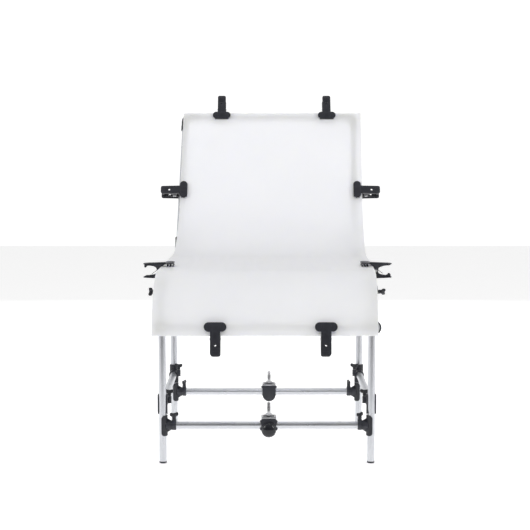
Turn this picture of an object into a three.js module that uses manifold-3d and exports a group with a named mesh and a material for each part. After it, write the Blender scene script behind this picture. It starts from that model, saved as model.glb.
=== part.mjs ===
// A shooting table for product photography: a tube stand, a hinged tube back, one
// flexible white sheet clipped over both, and two sliding light holders underneath.
// Millimetres, +X to the right, +Y to the back, +Z up, origin on the floor under the middle.
import * as THREE from 'three';
import { mergeVertices } from 'three/addons/utils/BufferGeometryUtils.js';
import Module from 'manifold-3d';

const wasm = await Module();
wasm.setup();

const DEG = Math.PI / 180;
const GAP = 0.3;

// Driving dimensions. Depths are measured from the sheet's front edge.
const SHEET_WIDTH = 600;
const SHEET_THICKNESS = 1.5;
const FRONT_EDGE_HEIGHT = 366;
const LIP_STRAIGHT = 38;
const LIP_ANGLE = 75 * DEG;
const LIP_RADIUS = 160;
const TABLE_LENGTH = 393;
const COVE_RADIUS = 330;
const BACK_ANGLE = 62 * DEG;
const BACK_LENGTH = 303;
const COVE_SPLIT_FRONT = 20 * DEG;
const COVE_SPLIT_BACK = 31.5 * DEG;
const DEPTH_TO_ORIGIN = 513.07;
const CENTRE_X = 12.25;

// The sheet lies slightly askew, and the back leans to the right with it.
const SHEET_SHIFT = -6;
const SHEET_SKEW = 0.027;
const BACK_LEAN = 12;

// Tube frame.
const TUBE_RADIUS = 10;
const TUBE_SIDES = 16;
const SIDE_X = 284.5;
const FRONT_LEG_DEPTH = 88;
const REAR_LEG_DEPTH = 525;
const CROSSBAR_HEIGHT = 105;
const RAIL_HEIGHT = 163;
const FOOT_HEIGHT = 9;
const LEG_TOP_GAP = 10;
const TUBE_INSET = TUBE_RADIUS + 6;
const BAR_INSET = 23;
const LIP_CORNER_END = 37.9;
const TOP_BAR_DROP = 12;

// The back's hinge: a fork on each side tube and a tongue on each back tube.
const FORK_REACH = 17;
const FORK_SLEEVE = 34;
const CHEEK_RADIUS = 14;
const CHEEK_THICKNESS = 4;
const TONGUE_THICKNESS = 10;
const TONGUE_REACH = 24;
const HINGE_PIN_RADIUS = 4;
const HINGE_HOLE_RADIUS = HINGE_PIN_RADIUS + GAP + 0.1;
const HINGE_ARM_ROOT = 3;
const HINGE_KNOB_START = 6;
const HINGE_KNOB_END = 18;
const HINGE_KNOB_RADIUS = 12;
const HINGE_KNOB_HUB = 8;
const HINGE_LOBES = 5;
const HINGE_LOBE_RADIUS = 5;
const HINGE_LOBE_REACH = 11;
const ELBOW_REACH = 45;
const LIP_ELBOW_REACH = 16;
const ELBOW_SEAT = TUBE_RADIUS + 2.5;

// Tees and wing knobs.
const TEE_WALL = 3;
const TEE_REACH = 37;
const TEE_SADDLE = 56;
const TEE_KNOB_REACH = 31;
const LEG_KNOB_REACH = 12.5;
const RAIL_KNOB_SIDE = 16;
const BOSS_HEIGHT = 3;
const BOSS_RADIUS = 6;
const EAR_DEPTH = 6;
const BEND_ROOM = 1.3;
const SHELL_OPEN = -3;
const LEG_SADDLE = 34;
const LEG_SHELL_OPEN = 2;
const WING_WIDTH = 24;
const WING_TOP = 35;
const WING_THICKNESS = 8;
const WING_STEM_RADIUS = 4.5;
const WING_HUB_HALF = 5;
const WING_HUB_FOOT = WING_TOP - 14;
const WING_TIP_FOOT = WING_TOP - 6;
const WING_SADDLE = WING_TOP - 3;

// Spring clamps.
const CLAMP_LENGTH = 88;
const CLAMP_PIVOT = 43;
const CLAMP_WIDTH = 27;
const CLAMP_WALL = 2.5;
const CLAMP_HOLE = 60;
const CLAMP_HOLE_RADIUS = 3.5;
const CLAMP_RISE = 3.2;
const CLAMP_TIP = 24.3;
const CLAMP_END = 20;
const EAR_HALF = 6.5;
const EAR_DROP = 5;
const ARM_DEPTH = 9;
const ARM_EDGE = 2;
const NUB_LENGTH = 8;
const NUB_DEPTH = 11;
const NECK_START = 5;
const NECK_END = 20;
const NECK_HALF = 9;
const PAD_LENGTH = 60;
const PAD_DEPTH = 25;
const PAD_THICKNESS = 5;
const PAD_GAP = 0.8;

const FRONT_CLAMP_X = { left: -137, right: 156 };
const TOP_CLAMP_X = { left: -150, right: 205 };
const TABLE_CLAMP_X = { left: -275.5, right: 280 };
const BACK_CLAMP_X = { left: -272, right: 300 };
const TABLE_CLAMP_DEPTH = 275;
const BACK_CLAMP_UP = 14;

// Light holders.
const HOLDER_X = { front: 5, rear: 8 };
const HOLDER_HALF_WIDTH = 20;
const HOLDER_HALF_DEPTH = 15;
const HOLDER_TOP = 20;
const HOLDER_PLATE = 6;
const STUD_RADIUS = 5.5;
const STUD_TOP = 64;
const STUD_NUT_RADIUS = 7;
const STUD_FLANGE_RADIUS = 9.5;
const HOLDER_KNOB_RADIUS = 20;
const HOLDER_KNOB_THICKNESS = 14;
const HOLDER_KNOB_DROP = 8;
const HOLDER_KNOB_FLUTES = 8;
const HOLDER_KNOB_CAP = 12;
const FLUTE_RADIUS = 5;
const FLUTE_DEPTH = 1.8;

const BORE_RADIUS = (TUBE_RADIUS + GAP) / Math.cos(Math.PI / TUBE_SIDES);
const SLEEVE_RADIUS = BORE_RADIUS + TEE_WALL;
const AXIS_DROP = SHEET_THICKNESS / 2 + GAP + SLEEVE_RADIUS;
const JAW_REACH = TUBE_RADIUS + GAP + CLAMP_RISE;
const UPPER_PAD_FACE = AXIS_DROP + SHEET_THICKNESS / 2 + PAD_GAP - CLAMP_RISE;

// Places worked out from the driving dimensions, as depth and height.
const TABLE_START = LIP_STRAIGHT * Math.cos(LIP_ANGLE) + LIP_RADIUS * Math.sin(LIP_ANGLE);
const TABLE_HEIGHT =
  FRONT_EDGE_HEIGHT + LIP_STRAIGHT * Math.sin(LIP_ANGLE) + LIP_RADIUS * (1 - Math.cos(LIP_ANGLE));
const COVE_START = TABLE_START + TABLE_LENGTH;
const TUBE_HEIGHT = TABLE_HEIGHT - AXIS_DROP;
const BACK_DIRECTION = [Math.cos(BACK_ANGLE), Math.sin(BACK_ANGLE)];
const BACK_START = [
  COVE_START + COVE_RADIUS * Math.sin(BACK_ANGLE),
  TABLE_HEIGHT + COVE_RADIUS * (1 - Math.cos(BACK_ANGLE)),
];

/** A point on the straight back, a distance up from the cove and behind the sheet. */
function onBack(along, behind = 0) {
  return [
    BACK_START[0] + along * BACK_DIRECTION[0] + behind * BACK_DIRECTION[1],
    BACK_START[1] + along * BACK_DIRECTION[1] - behind * BACK_DIRECTION[0],
  ];
}

/** A point on the straight lip, a distance up from the front edge and behind the sheet. */
function onLip(along, behind = 0) {
  return [
    along * Math.cos(LIP_ANGLE) + behind * Math.sin(LIP_ANGLE),
    FRONT_EDGE_HEIGHT + along * Math.sin(LIP_ANGLE) - behind * Math.cos(LIP_ANGLE),
  ];
}

const BACK_AXIS = onBack(0, AXIS_DROP);
const HINGE_BACK_OFF = (BACK_AXIS[1] - TUBE_HEIGHT) / BACK_DIRECTION[1];
const HINGE = [BACK_AXIS[0] - HINGE_BACK_OFF * BACK_DIRECTION[0], TUBE_HEIGHT];
const TOP_BAR = onBack(BACK_LENGTH - TOP_BAR_DROP, AXIS_DROP);
const LIP_BAR = onLip(BAR_INSET, AXIS_DROP);

const ORIGIN = new THREE.Vector3();
const X = new THREE.Vector3(1, 0, 0);
const Y = new THREE.Vector3(0, 1, 0);
const Z = new THREE.Vector3(0, 0, 1);

const materials = {
  sheet: new THREE.MeshStandardMaterial({ color: 0xeff0f4, roughness: 0.45, metalness: 0 }),
  aluminium: new THREE.MeshStandardMaterial({ color: 0xcfd1d4, roughness: 0.32, metalness: 0.9 }),
  plastic: new THREE.MeshStandardMaterial({ color: 0x2b2d33, roughness: 0.5, metalness: 0 }),
};

const table = new THREE.Group();

/** World position from an X, a depth behind the front edge and a height. */
function at(x, [depth, height]) {
  return new THREE.Vector3(x - CENTRE_X, depth - DEPTH_TO_ORIGIN, height);
}

/** A manifold solid from a closed three.js geometry. */
function solid(geometry) {
  const bare = geometry.clone();
  bare.deleteAttribute('normal');
  bare.deleteAttribute('uv');
  const merged = mergeVertices(bare, 1e-4);
  const mesh = new wasm.Mesh({
    numProp: 3,
    vertProperties: new Float32Array(merged.attributes.position.array),
    triVerts: new Uint32Array(merged.index.array),
  });
  return new wasm.Manifold(mesh);
}

/** A three.js geometry from a manifold solid. */
function surface(manifold) {
  const { vertProperties, triVerts } = manifold.getMesh();
  const geometry = new THREE.BufferGeometry();
  geometry.setAttribute('position', new THREE.BufferAttribute(vertProperties, 3));
  geometry.setIndex(new THREE.BufferAttribute(triVerts, 1));
  return geometry;
}

/** Names a solid or geometry as one sub-part, optionally placed by a matrix. */
function addPart(name, shape, material, placement) {
  const geometry = shape.isBufferGeometry ? shape : surface(shape);
  const mesh = new THREE.Mesh(geometry, material);
  mesh.name = name;
  if (placement) placement.decompose(mesh.position, mesh.quaternion, mesh.scale);
  table.add(mesh);
}

/** A round bar between two points, with one flat turned to local X. */
function bar(from, to, radius = TUBE_RADIUS, sides = TUBE_SIDES) {
  const span = new THREE.Vector3().subVectors(to, from);
  const geometry = new THREE.CylinderGeometry(radius, radius, span.length(), sides);
  const turn = new THREE.Quaternion().setFromUnitVectors(Y, span.clone().normalize());
  geometry.applyQuaternion(turn);
  geometry.translate(...span.multiplyScalar(0.5).add(from).toArray());
  return geometry;
}

/** A box from its lowest corner to its highest corner. */
function block(low, high) {
  const geometry = new THREE.BoxGeometry(high[0] - low[0], high[1] - low[1], high[2] - low[2]);
  geometry.translate((low[0] + high[0]) / 2, (low[1] + high[1]) / 2, (low[2] + high[2]) / 2);
  return geometry;
}

/** An outline of [across, up] points, extruded along its normal from 0 to depth. */
function plate(points, depth) {
  const shape = new THREE.Shape(points.map(([across, up]) => new THREE.Vector2(across, up)));
  return new THREE.ExtrudeGeometry(shape, { depth, bevelEnabled: false, curveSegments: 6 });
}

/** An outline of [along X, up Z] points as a plate across Y, from one side down to side - width. */
function acrossY(outline, width, side) {
  const geometry = plate(outline, width);
  geometry.rotateX(Math.PI / 2);
  geometry.translate(0, side, 0);
  return geometry;
}

/** Turns an extrusion drawn in depth and height so that it runs along X, skewed as the sheet is. */
function acrossX(geometry, width) {
  geometry.applyMatrix4(new THREE.Matrix4().makeBasis(Y, Z, X));
  geometry.translate(SHEET_SHIFT - width / 2, 0, 0);
  geometry.applyMatrix4(new THREE.Matrix4().set(1, SHEET_SKEW, 0, 0, 0, 1, 0, 0, 0, 0, 1, 0, 0, 0, 0, 1));
  geometry.translate(...at(0, [0, 0]).toArray());
  return geometry;
}

/** Points of an arc, as [depth, height], from one angle to another. */
function arc(centre, radius, from, to, steps) {
  const points = [];
  for (let step = 0; step <= steps; step++) {
    const angle = from + ((to - from) * step) / steps;
    points.push([centre[0] + radius * Math.cos(angle), centre[1] + radius * Math.sin(angle)]);
  }
  return points;
}

const LIP_CENTRE = [TABLE_START, TABLE_HEIGHT - LIP_RADIUS];
const COVE_CENTRE = [COVE_START, TABLE_HEIGHT + COVE_RADIUS];

/** The line at a distance behind the sheet's middle, from the front edge to the cove's split. */
function frontLine(behind) {
  const lip = arc(LIP_CENTRE, LIP_RADIUS - behind, Math.PI / 2 + LIP_ANGLE, Math.PI / 2, 12);
  const end = -Math.PI / 2 + COVE_SPLIT_FRONT;
  const cove = arc(COVE_CENTRE, COVE_RADIUS + behind, -Math.PI / 2, end, 4);
  return [onLip(0, behind), ...lip, ...cove];
}

/** The line at a distance behind the sheet's middle, from the cove's split to the top edge. */
function backLine(behind) {
  const start = -Math.PI / 2 + COVE_SPLIT_BACK;
  const cove = arc(COVE_CENTRE, COVE_RADIUS + behind, start, -Math.PI / 2 + BACK_ANGLE, 6);
  return [...cove, onBack(BACK_LENGTH, behind)];
}

function addSheet(name, line) {
  const half = SHEET_THICKNESS / 2;
  const outline = [...line(half), ...line(-half).reverse()];
  addPart(name, acrossX(plate(outline, SHEET_WIDTH), SHEET_WIDTH), materials.sheet);
}

/** The bent side tube's centre line, from the lip corner to the fork at the hinge. */
class SideTubeLine extends THREE.Curve {
  constructor(x) {
    super();
    this.x = x;
    const radius = LIP_RADIUS - AXIS_DROP;
    const bend = arc(LIP_CENTRE, radius, Math.PI / 2 + LIP_ANGLE, Math.PI / 2, 14);
    this.stops = [onLip(LIP_CORNER_END, AXIS_DROP), ...bend, [HINGE[0] - FORK_REACH, TUBE_HEIGHT]];
  }

  getPoint(t) {
    const place = t * (this.stops.length - 1);
    const index = Math.min(Math.floor(place), this.stops.length - 2);
    const share = place - index;
    const from = at(this.x, this.stops[index]);
    return from.lerp(at(this.x, this.stops[index + 1]), share);
  }

  getPointAt(t) {
    return this.getPoint(t);
  }
}

/** A disc across X around the hinge axis, with an arm from it towards a direction. */
function hingePlate(x, thickness, direction, reach) {
  const centre = at(x, HINGE);
  const half = new THREE.Vector3(thickness / 2, 0, 0);
  const disc = bar(centre.clone().sub(half), centre.clone().add(half), CHEEK_RADIUS, 20);
  const arm = block([-thickness / 2, 0, -CHEEK_RADIUS * 0.9], [thickness / 2, reach, CHEEK_RADIUS * 0.9]);
  arm.rotateX(direction);
  arm.translate(...centre.toArray());
  return solid(disc).add(solid(arm));
}

/** The hole for the hinge pins, right through both sides. */
function hingeHole() {
  const centre = at(0, HINGE);
  const reach = new THREE.Vector3(SIDE_X + 60, 0, 0);
  return solid(bar(centre.clone().sub(reach), centre.clone().add(reach), HINGE_HOLE_RADIUS, 16));
}

/** A bent side tube, with the fork of the back's hinge on its rear end. */
function sideTube(x) {
  const section = new THREE.Shape();
  section.absarc(0, 0, TUBE_RADIUS, 0, 2 * Math.PI);
  const line = new SideTubeLine(x);
  const steps = line.stops.length - 1;
  const options = { steps, extrudePath: line, curveSegments: TUBE_SIDES / 2, bevelEnabled: false };
  const tube = solid(new THREE.ExtrudeGeometry(section, options));
  const end = [HINGE[0] - FORK_REACH, TUBE_HEIGHT];
  const start = [end[0] - FORK_SLEEVE, TUBE_HEIGHT];
  const sleeve = solid(bar(at(x, start), at(x, end), SLEEVE_RADIUS));
  const offset = TONGUE_THICKNESS / 2 + GAP + CHEEK_THICKNESS / 2;
  const inner = hingePlate(x - offset, CHEEK_THICKNESS, Math.PI, FORK_REACH + HINGE_ARM_ROOT);
  const outer = hingePlate(x + offset, CHEEK_THICKNESS, Math.PI, FORK_REACH + HINGE_ARM_ROOT);
  return tube.add(sleeve).add(inner).add(outer).subtract(hingeHole());
}

/** How far the back has leaned over to the right, a distance up from the cove. */
function lean(along) {
  return (BACK_LEAN * (along + HINGE_BACK_OFF)) / (BACK_LENGTH + HINGE_BACK_OFF);
}

/** A straight back tube, with the hinge's tongue in a sleeve on its lower end. */
function backTube(x) {
  const start = HINGE_BACK_OFF - TONGUE_REACH;
  const end = BACK_LENGTH - TOP_BAR_DROP - ELBOW_SEAT - GAP;
  const point = (along) => at(x + lean(along), onBack(along, AXIS_DROP));
  const tube = solid(bar(point(-start), point(end)));
  const sleeve = solid(bar(point(-start), point(-start + FORK_SLEEVE), SLEEVE_RADIUS));
  const tongue = hingePlate(x, TONGUE_THICKNESS, BACK_ANGLE, TONGUE_REACH + HINGE_ARM_ROOT);
  return tube.add(sleeve).add(tongue).subtract(hingeHole());
}

/** A crossbar that ends in elbows, whose open sleeves take the ends of the side tubes.
 *  along is the side tubes' direction from the corner. */
function corneredBar(corner, along, reach, shift = 0) {
  let shape = solid(bar(at(shift - SIDE_X, corner), at(shift + SIDE_X, corner)));
  for (const side of [-1, 1]) {
    const centre = at(shift + side * SIDE_X, corner);
    const inward = centre.clone().addScaledVector(X, -side * reach);
    const heel = centre.clone().addScaledVector(X, side * (SLEEVE_RADIUS - 1));
    const past = centre.clone().addScaledVector(along, -SLEEVE_RADIUS);
    const end = centre.clone().addScaledVector(along, reach);
    const seat = centre.clone().addScaledVector(along, ELBOW_SEAT);
    const mouth = centre.clone().addScaledVector(along, 2 * reach);
    shape = shape.add(solid(bar(heel, inward, SLEEVE_RADIUS)));
    shape = shape.add(solid(bar(past, end, SLEEVE_RADIUS)));
    shape = shape.subtract(solid(bar(seat, mouth, BORE_RADIUS)));
  }
  return shape;
}

/** A tee whose half shell hugs a crossed tube and whose socket holds a tube's end along +X.
 *  crossing is the crossed tube's direction, open the level above which the shell is cut away.
 *  The knob's boss stands at knobReach along X and knobSide along Y, on an ear if it is aside. */
function teeShape(options) {
  const { crossing = Z, saddle = TEE_SADDLE, bore = BORE_RADIUS, open = SHELL_OPEN } = options;
  const { knobReach = TEE_KNOB_REACH, knobSide = 0 } = options;
  const half = crossing.clone().multiplyScalar(saddle / 2);
  const shell = solid(bar(half.clone().negate(), half, bore + TEE_WALL));
  const away = solid(block([-saddle, -saddle, -saddle], [open, saddle, saddle]));
  const socket = solid(bar(ORIGIN, new THREE.Vector3(TEE_REACH, 0, 0), SLEEVE_RADIUS));
  const bossFoot = new THREE.Vector3(knobReach, knobSide, 0);
  const bossTop = SLEEVE_RADIUS + BOSS_HEIGHT;
  const boss = solid(bar(bossFoot, bossFoot.clone().setZ(bossTop), BOSS_RADIUS, 12));
  const earSides = [0, knobSide].sort((first, second) => first - second);
  const ear = solid(
    block(
      [knobReach - BOSS_RADIUS, earSides[0] - 1, -EAR_DEPTH / 2],
      [TEE_REACH, earSides[1] + 1, EAR_DEPTH],
    ),
  );
  const past = crossing.clone().multiplyScalar(saddle);
  const crossHole = solid(bar(past.clone().negate(), past, bore));
  const endHole = solid(bar(ORIGIN, new THREE.Vector3(2 * TEE_REACH, 0, 0), BORE_RADIUS));
  const body = shell.subtract(away).add(socket).add(boss);
  return (knobSide ? body.add(ear) : body).subtract(crossHole).subtract(endHole);
}

/** A wing knob above a tee's boss, in the tee's own frame. */
function wingKnob() {
  const base = SLEEVE_RADIUS + BOSS_HEIGHT + GAP;
  const half = WING_WIDTH / 2;
  const stemTop = new THREE.Vector3(0, 0, WING_TOP - 10);
  const stem = bar(new THREE.Vector3(0, 0, base), stemTop, WING_STEM_RADIUS, 12);
  const right = [
    [WING_HUB_HALF, WING_HUB_FOOT],
    [half, WING_TIP_FOOT],
    [half, WING_TOP - 1],
    [half - 3, WING_TOP],
    [WING_HUB_HALF - 1, WING_SADDLE],
  ];
  const left = right.map(([reach, height]) => [-reach, height]).reverse();
  const wings = acrossY([...right, ...left], WING_THICKNESS, WING_THICKNESS / 2);
  return solid(stem).add(solid(wings));
}

/** Adds a tee at a point, its socket along one direction and its knob along another,
 *  and gives back the frame of its knob. */
function addTee(name, place, socket, knobWay, options = {}) {
  const third = new THREE.Vector3().crossVectors(knobWay, socket);
  const basis = new THREE.Matrix4().makeBasis(socket, third, knobWay).setPosition(place);
  addPart(`tee_${name}`, teeShape(options), materials.plastic, basis);
  const { knobReach = TEE_KNOB_REACH, knobSide = 0 } = options;
  return basis.multiply(new THREE.Matrix4().makeTranslation(knobReach, knobSide, 0));
}

/** One arm of a spring clamp. Local X runs from the jaw's tip to the handle's end, Y across,
 *  Z out from the jaw's middle line. */
function clampArm(padFace, earOuter) {
  const half = CLAMP_WIDTH / 2;
  const slope = (CLAMP_END - CLAMP_TIP) / CLAMP_LENGTH;
  const under = (along, depth = 0) => [along, CLAMP_TIP + slope * along - depth];
  const outline = [
    under(0, ARM_DEPTH - 1),
    under(ARM_EDGE),
    under(CLAMP_LENGTH - ARM_EDGE),
    under(CLAMP_LENGTH, ARM_EDGE),
    under(CLAMP_LENGTH, NUB_DEPTH),
    under(CLAMP_LENGTH - NUB_LENGTH, NUB_DEPTH),
    under(CLAMP_LENGTH - NUB_LENGTH - ARM_EDGE, ARM_DEPTH - ARM_EDGE),
    under(CLAMP_PIVOT + NUB_DEPTH, ARM_DEPTH),
    under(CLAMP_PIVOT - NUB_DEPTH, ARM_DEPTH),
    under(PAD_DEPTH - ARM_EDGE, ARM_DEPTH - 1),
  ];
  const body = acrossY(outline, CLAMP_WIDTH, half);
  const far = CLAMP_LENGTH - 2 * CLAMP_WALL;
  const hollow = [
    under(2 * CLAMP_WALL, CLAMP_WIDTH),
    under(far, CLAMP_WIDTH),
    under(far, CLAMP_WALL),
    under(2 * CLAMP_WALL, CLAMP_WALL),
  ];
  const channel = acrossY(hollow, CLAMP_WIDTH - 2 * CLAMP_WALL, half - CLAMP_WALL);
  const padRadius = PAD_DEPTH / 2;
  const padEnd = PAD_LENGTH / 2 - padRadius;
  const padOutline = [
    ...arc([padRadius, padEnd], padRadius, 0, Math.PI, 8),
    ...arc([padRadius, -padEnd], padRadius, Math.PI, 2 * Math.PI, 8),
  ];
  const pad = plate(padOutline, PAD_THICKNESS);
  pad.translate(0, 0, padFace);
  const neckTop = under(padRadius, 1)[1];
  const neck = block([NECK_START, -NECK_HALF, padFace + 1], [NECK_END, NECK_HALF, neckTop]);
  let arm = solid(body).subtract(solid(channel)).add(solid(pad)).add(solid(neck));
  const earOutline = [
    under(CLAMP_PIVOT - EAR_HALF, 1),
    [CLAMP_PIVOT - EAR_HALF, 0],
    [CLAMP_PIVOT - EAR_HALF / 2, -EAR_DROP],
    [CLAMP_PIVOT + EAR_HALF / 2, -EAR_DROP],
    [CLAMP_PIVOT + EAR_HALF, 0],
    under(CLAMP_PIVOT + EAR_HALF, 1),
  ];
  for (const side of [earOuter, CLAMP_WALL - earOuter]) {
    arm = arm.add(solid(acrossY(earOutline, CLAMP_WALL, side)));
  }
  const holeFoot = new THREE.Vector3(CLAMP_HOLE, 0, 0);
  const holeTop = new THREE.Vector3(CLAMP_HOLE, 0, 2 * CLAMP_TIP);
  return arm.subtract(solid(bar(holeFoot, holeTop, CLAMP_HOLE_RADIUS, 12)));
}

/** The two arms of a spring clamp that grips the sheet and the tube behind it.
 *  tube is the gripped tube's centre, handle the way the handles point, face the sheet's outer side. */
function addClamp(name, tube, handle, face) {
  const across = new THREE.Vector3().crossVectors(face, handle);
  const tip = tube.clone().addScaledVector(handle, -PAD_DEPTH / 2).addScaledVector(face, CLAMP_RISE);
  const outerBasis = new THREE.Matrix4().makeBasis(handle, across, face).setPosition(tip);
  const innerBasis = new THREE.Matrix4()
    .makeBasis(handle, across.clone().negate(), face.clone().negate())
    .setPosition(tip);
  const fixed = clampArm(UPPER_PAD_FACE, CLAMP_WIDTH / 2);
  addPart(`clamp_${name}_fixed`, fixed, materials.plastic, outerBasis);
  const jaw = clampArm(JAW_REACH, CLAMP_WIDTH / 2 - CLAMP_WALL - GAP);
  addPart(`clamp_${name}_jaw`, jaw, materials.plastic, innerBasis);
}

/** A light holder: a block around the crossbar with a metal plate and stud on top. */
function holderBody() {
  const outline = [
    [-HOLDER_HALF_WIDTH, HOLDER_TOP],
    ...arc([0, -HOLDER_KNOB_DROP], HOLDER_HALF_WIDTH, Math.PI, 2 * Math.PI, 12),
    [HOLDER_HALF_WIDTH, HOLDER_TOP],
  ];
  const housing = plate(outline, 2 * HOLDER_HALF_DEPTH);
  housing.rotateX(Math.PI / 2);
  housing.translate(0, HOLDER_HALF_DEPTH, 0);
  const top = block(
    [-HOLDER_HALF_WIDTH - 0.5, -HOLDER_HALF_DEPTH, HOLDER_TOP - 1],
    [HOLDER_HALF_WIDTH + 0.5, HOLDER_HALF_DEPTH, HOLDER_TOP + HOLDER_PLATE],
  );
  const base = HOLDER_TOP + HOLDER_PLATE;
  const profile = [
    [0, base - 1],
    [STUD_NUT_RADIUS, base - 1],
    [STUD_NUT_RADIUS, base + 2],
    [STUD_FLANGE_RADIUS, base + 3],
    [STUD_FLANGE_RADIUS, base + 6],
    [STUD_RADIUS, base + 7],
    [STUD_RADIUS, STUD_TOP - 1],
    [STUD_RADIUS - 1, STUD_TOP],
    [0, STUD_TOP],
  ];
  const turned = profile.map(([radius, height]) => new THREE.Vector2(radius, height));
  const stud = new THREE.LatheGeometry(turned, 16);
  stud.rotateX(Math.PI / 2);
  const reach = new THREE.Vector3(2 * HOLDER_HALF_WIDTH, 0, 0);
  const hole = bar(reach.clone().negate(), reach, BORE_RADIUS);
  return solid(housing).add(solid(top)).add(solid(stud)).subtract(solid(hole));
}

/** A round knob whose axis runs along -Y, with eight grip flutes. */
function holderKnob() {
  const front = -(HOLDER_HALF_DEPTH + GAP);
  const back = front - HOLDER_KNOB_THICKNESS;
  const centre = (y) => new THREE.Vector3(0, y, -HOLDER_KNOB_DROP);
  let knob = solid(bar(centre(front - 3), centre(back), HOLDER_KNOB_RADIUS, 32));
  knob = knob.add(solid(bar(centre(front), centre(back + 2), HOLDER_KNOB_CAP, 16)));
  const reach = HOLDER_KNOB_RADIUS + FLUTE_RADIUS - FLUTE_DEPTH;
  for (let flute = 0; flute < HOLDER_KNOB_FLUTES; flute++) {
    const angle = ((flute + 0.5) * 2 * Math.PI) / HOLDER_KNOB_FLUTES;
    const groove = bar(centre(front + 1), centre(back - 1), FLUTE_RADIUS, 10);
    groove.translate(reach * Math.cos(angle), 0, reach * Math.sin(angle));
    knob = knob.subtract(solid(groove));
  }
  return knob;
}

const SIDES = { left: -1, right: 1 };
const LEGS = { front: FRONT_LEG_DEPTH, rear: REAR_LEG_DEPTH };

function addKnob(name, basis) {
  addPart(`knob_${name}`, wingKnob(), materials.plastic, basis);
}

/** Height of the bent side tube's centre line above the front leg. */
function frontLegAxisHeight() {
  const radius = LIP_RADIUS - AXIS_DROP;
  const back = LIP_CENTRE[0] - FRONT_LEG_DEPTH;
  return LIP_CENTRE[1] + Math.sqrt(radius * radius - back * back);
}

function frontLegSlope() {
  return Math.asin((LIP_CENTRE[0] - FRONT_LEG_DEPTH) / (LIP_RADIUS - AXIS_DROP));
}

function addLegs(side, sign) {
  const x = sign * SIDE_X;
  const tops = { front: frontLegAxisHeight(), rear: TUBE_HEIGHT };
  for (const [end, depth] of Object.entries(LEGS)) {
    const top = tops[end] - TUBE_RADIUS - LEG_TOP_GAP;
    const leg = solid(bar(at(x, [depth, FOOT_HEIGHT - 2]), at(x, [depth, top])));
    const foot = solid(bar(at(x, [depth, 0]), at(x, [depth, FOOT_HEIGHT]), TUBE_RADIUS + 0.5));
    addPart(`leg_${end}_${side}`, leg.add(foot), materials.aluminium);
  }
  const down = Z.clone().negate();
  const outward = X.clone().multiplyScalar(sign);
  const slope = sign * frontLegSlope();
  const sloping = {
    crossing: new THREE.Vector3(-Math.sin(slope), Math.cos(slope), 0),
    saddle: LEG_SADDLE,
    bore: BORE_RADIUS + BEND_ROOM,
    open: LEG_SHELL_OPEN,
    knobReach: LEG_KNOB_REACH,
  };
  const front = addTee(`leg_front_${side}`, at(x, [FRONT_LEG_DEPTH, tops.front]), down, outward, sloping);
  addKnob(`leg_front_${side}`, front);
  addTee(`leg_rear_${side}`, at(x, [REAR_LEG_DEPTH, tops.rear]), down, outward, { crossing: Y });
}

function addRail(side, sign) {
  const x = sign * SIDE_X;
  const start = [FRONT_LEG_DEPTH + TUBE_INSET, RAIL_HEIGHT];
  const end = [REAR_LEG_DEPTH - TUBE_INSET, RAIL_HEIGHT];
  addPart(`rail_${side}`, bar(at(x, start), at(x, end)), materials.aluminium);
  const frontKnob = { knobSide: sign * RAIL_KNOB_SIDE };
  const frontLeg = at(x, [FRONT_LEG_DEPTH, RAIL_HEIGHT]);
  const front = addTee(`rail_front_${side}`, frontLeg, Y, Z, frontKnob);
  addKnob(`rail_front_${side}`, front);
  const rearKnob = { knobSide: -sign * RAIL_KNOB_SIDE };
  const rearLeg = at(x, [REAR_LEG_DEPTH, RAIL_HEIGHT]);
  const rear = addTee(`rail_rear_${side}`, rearLeg, Y.clone().negate(), Z, rearKnob);
  addKnob(`rail_rear_${side}`, rear);
}

function addCrossbar(end, depth) {
  const reach = SIDE_X - TUBE_INSET;
  const place = [depth, CROSSBAR_HEIGHT];
  addPart(`crossbar_${end}`, bar(at(-reach, place), at(reach, place)), materials.aluminium);
  for (const [side, sign] of Object.entries(SIDES)) {
    const inward = X.clone().multiplyScalar(-sign);
    const basis = addTee(`crossbar_${end}_${side}`, at(sign * SIDE_X, place), inward, Z);
    addKnob(`crossbar_${end}_${side}`, basis);
  }
}

function addHolder(end, x, depth, facing) {
  const turned = new THREE.Matrix4().makeRotationZ(facing > 0 ? Math.PI : 0);
  const placement = turned.setPosition(at(x, [depth, CROSSBAR_HEIGHT]));
  addPart(`holder_${end}`, holderBody(), materials.plastic, placement);
  addPart(`holder_knob_${end}`, holderKnob(), materials.plastic, placement);
}

/** A hinge knob: a pin through fork and tongue, with a lobed head on the fork's inner side. */
function hingeKnob(side, sign) {
  const stack = TONGUE_THICKNESS / 2 + GAP + CHEEK_THICKNESS;
  const point = (x) => at(sign * (SIDE_X - x), HINGE);
  const [start, end] = [stack + HINGE_KNOB_START, stack + HINGE_KNOB_END];
  let knob = solid(bar(point(-stack), point(start - 1), HINGE_PIN_RADIUS, 16));
  knob = knob.add(solid(bar(point(stack + GAP), point(start + 1), HINGE_KNOB_HUB, 16)));
  knob = knob.add(solid(bar(point(start), point(end), HINGE_KNOB_RADIUS, 20)));
  for (let lobe = 0; lobe < HINGE_LOBES; lobe++) {
    const angle = (lobe * 2 * Math.PI) / HINGE_LOBES;
    const shift = new THREE.Vector3(0, Math.cos(angle), Math.sin(angle));
    shift.multiplyScalar(HINGE_LOBE_REACH);
    const [near, far] = [point(start).add(shift), point(end).add(shift)];
    knob = knob.add(solid(bar(near, far, HINGE_LOBE_RADIUS, 10)));
  }
  addPart(`knob_hinge_${side}`, knob, materials.plastic);
}

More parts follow.
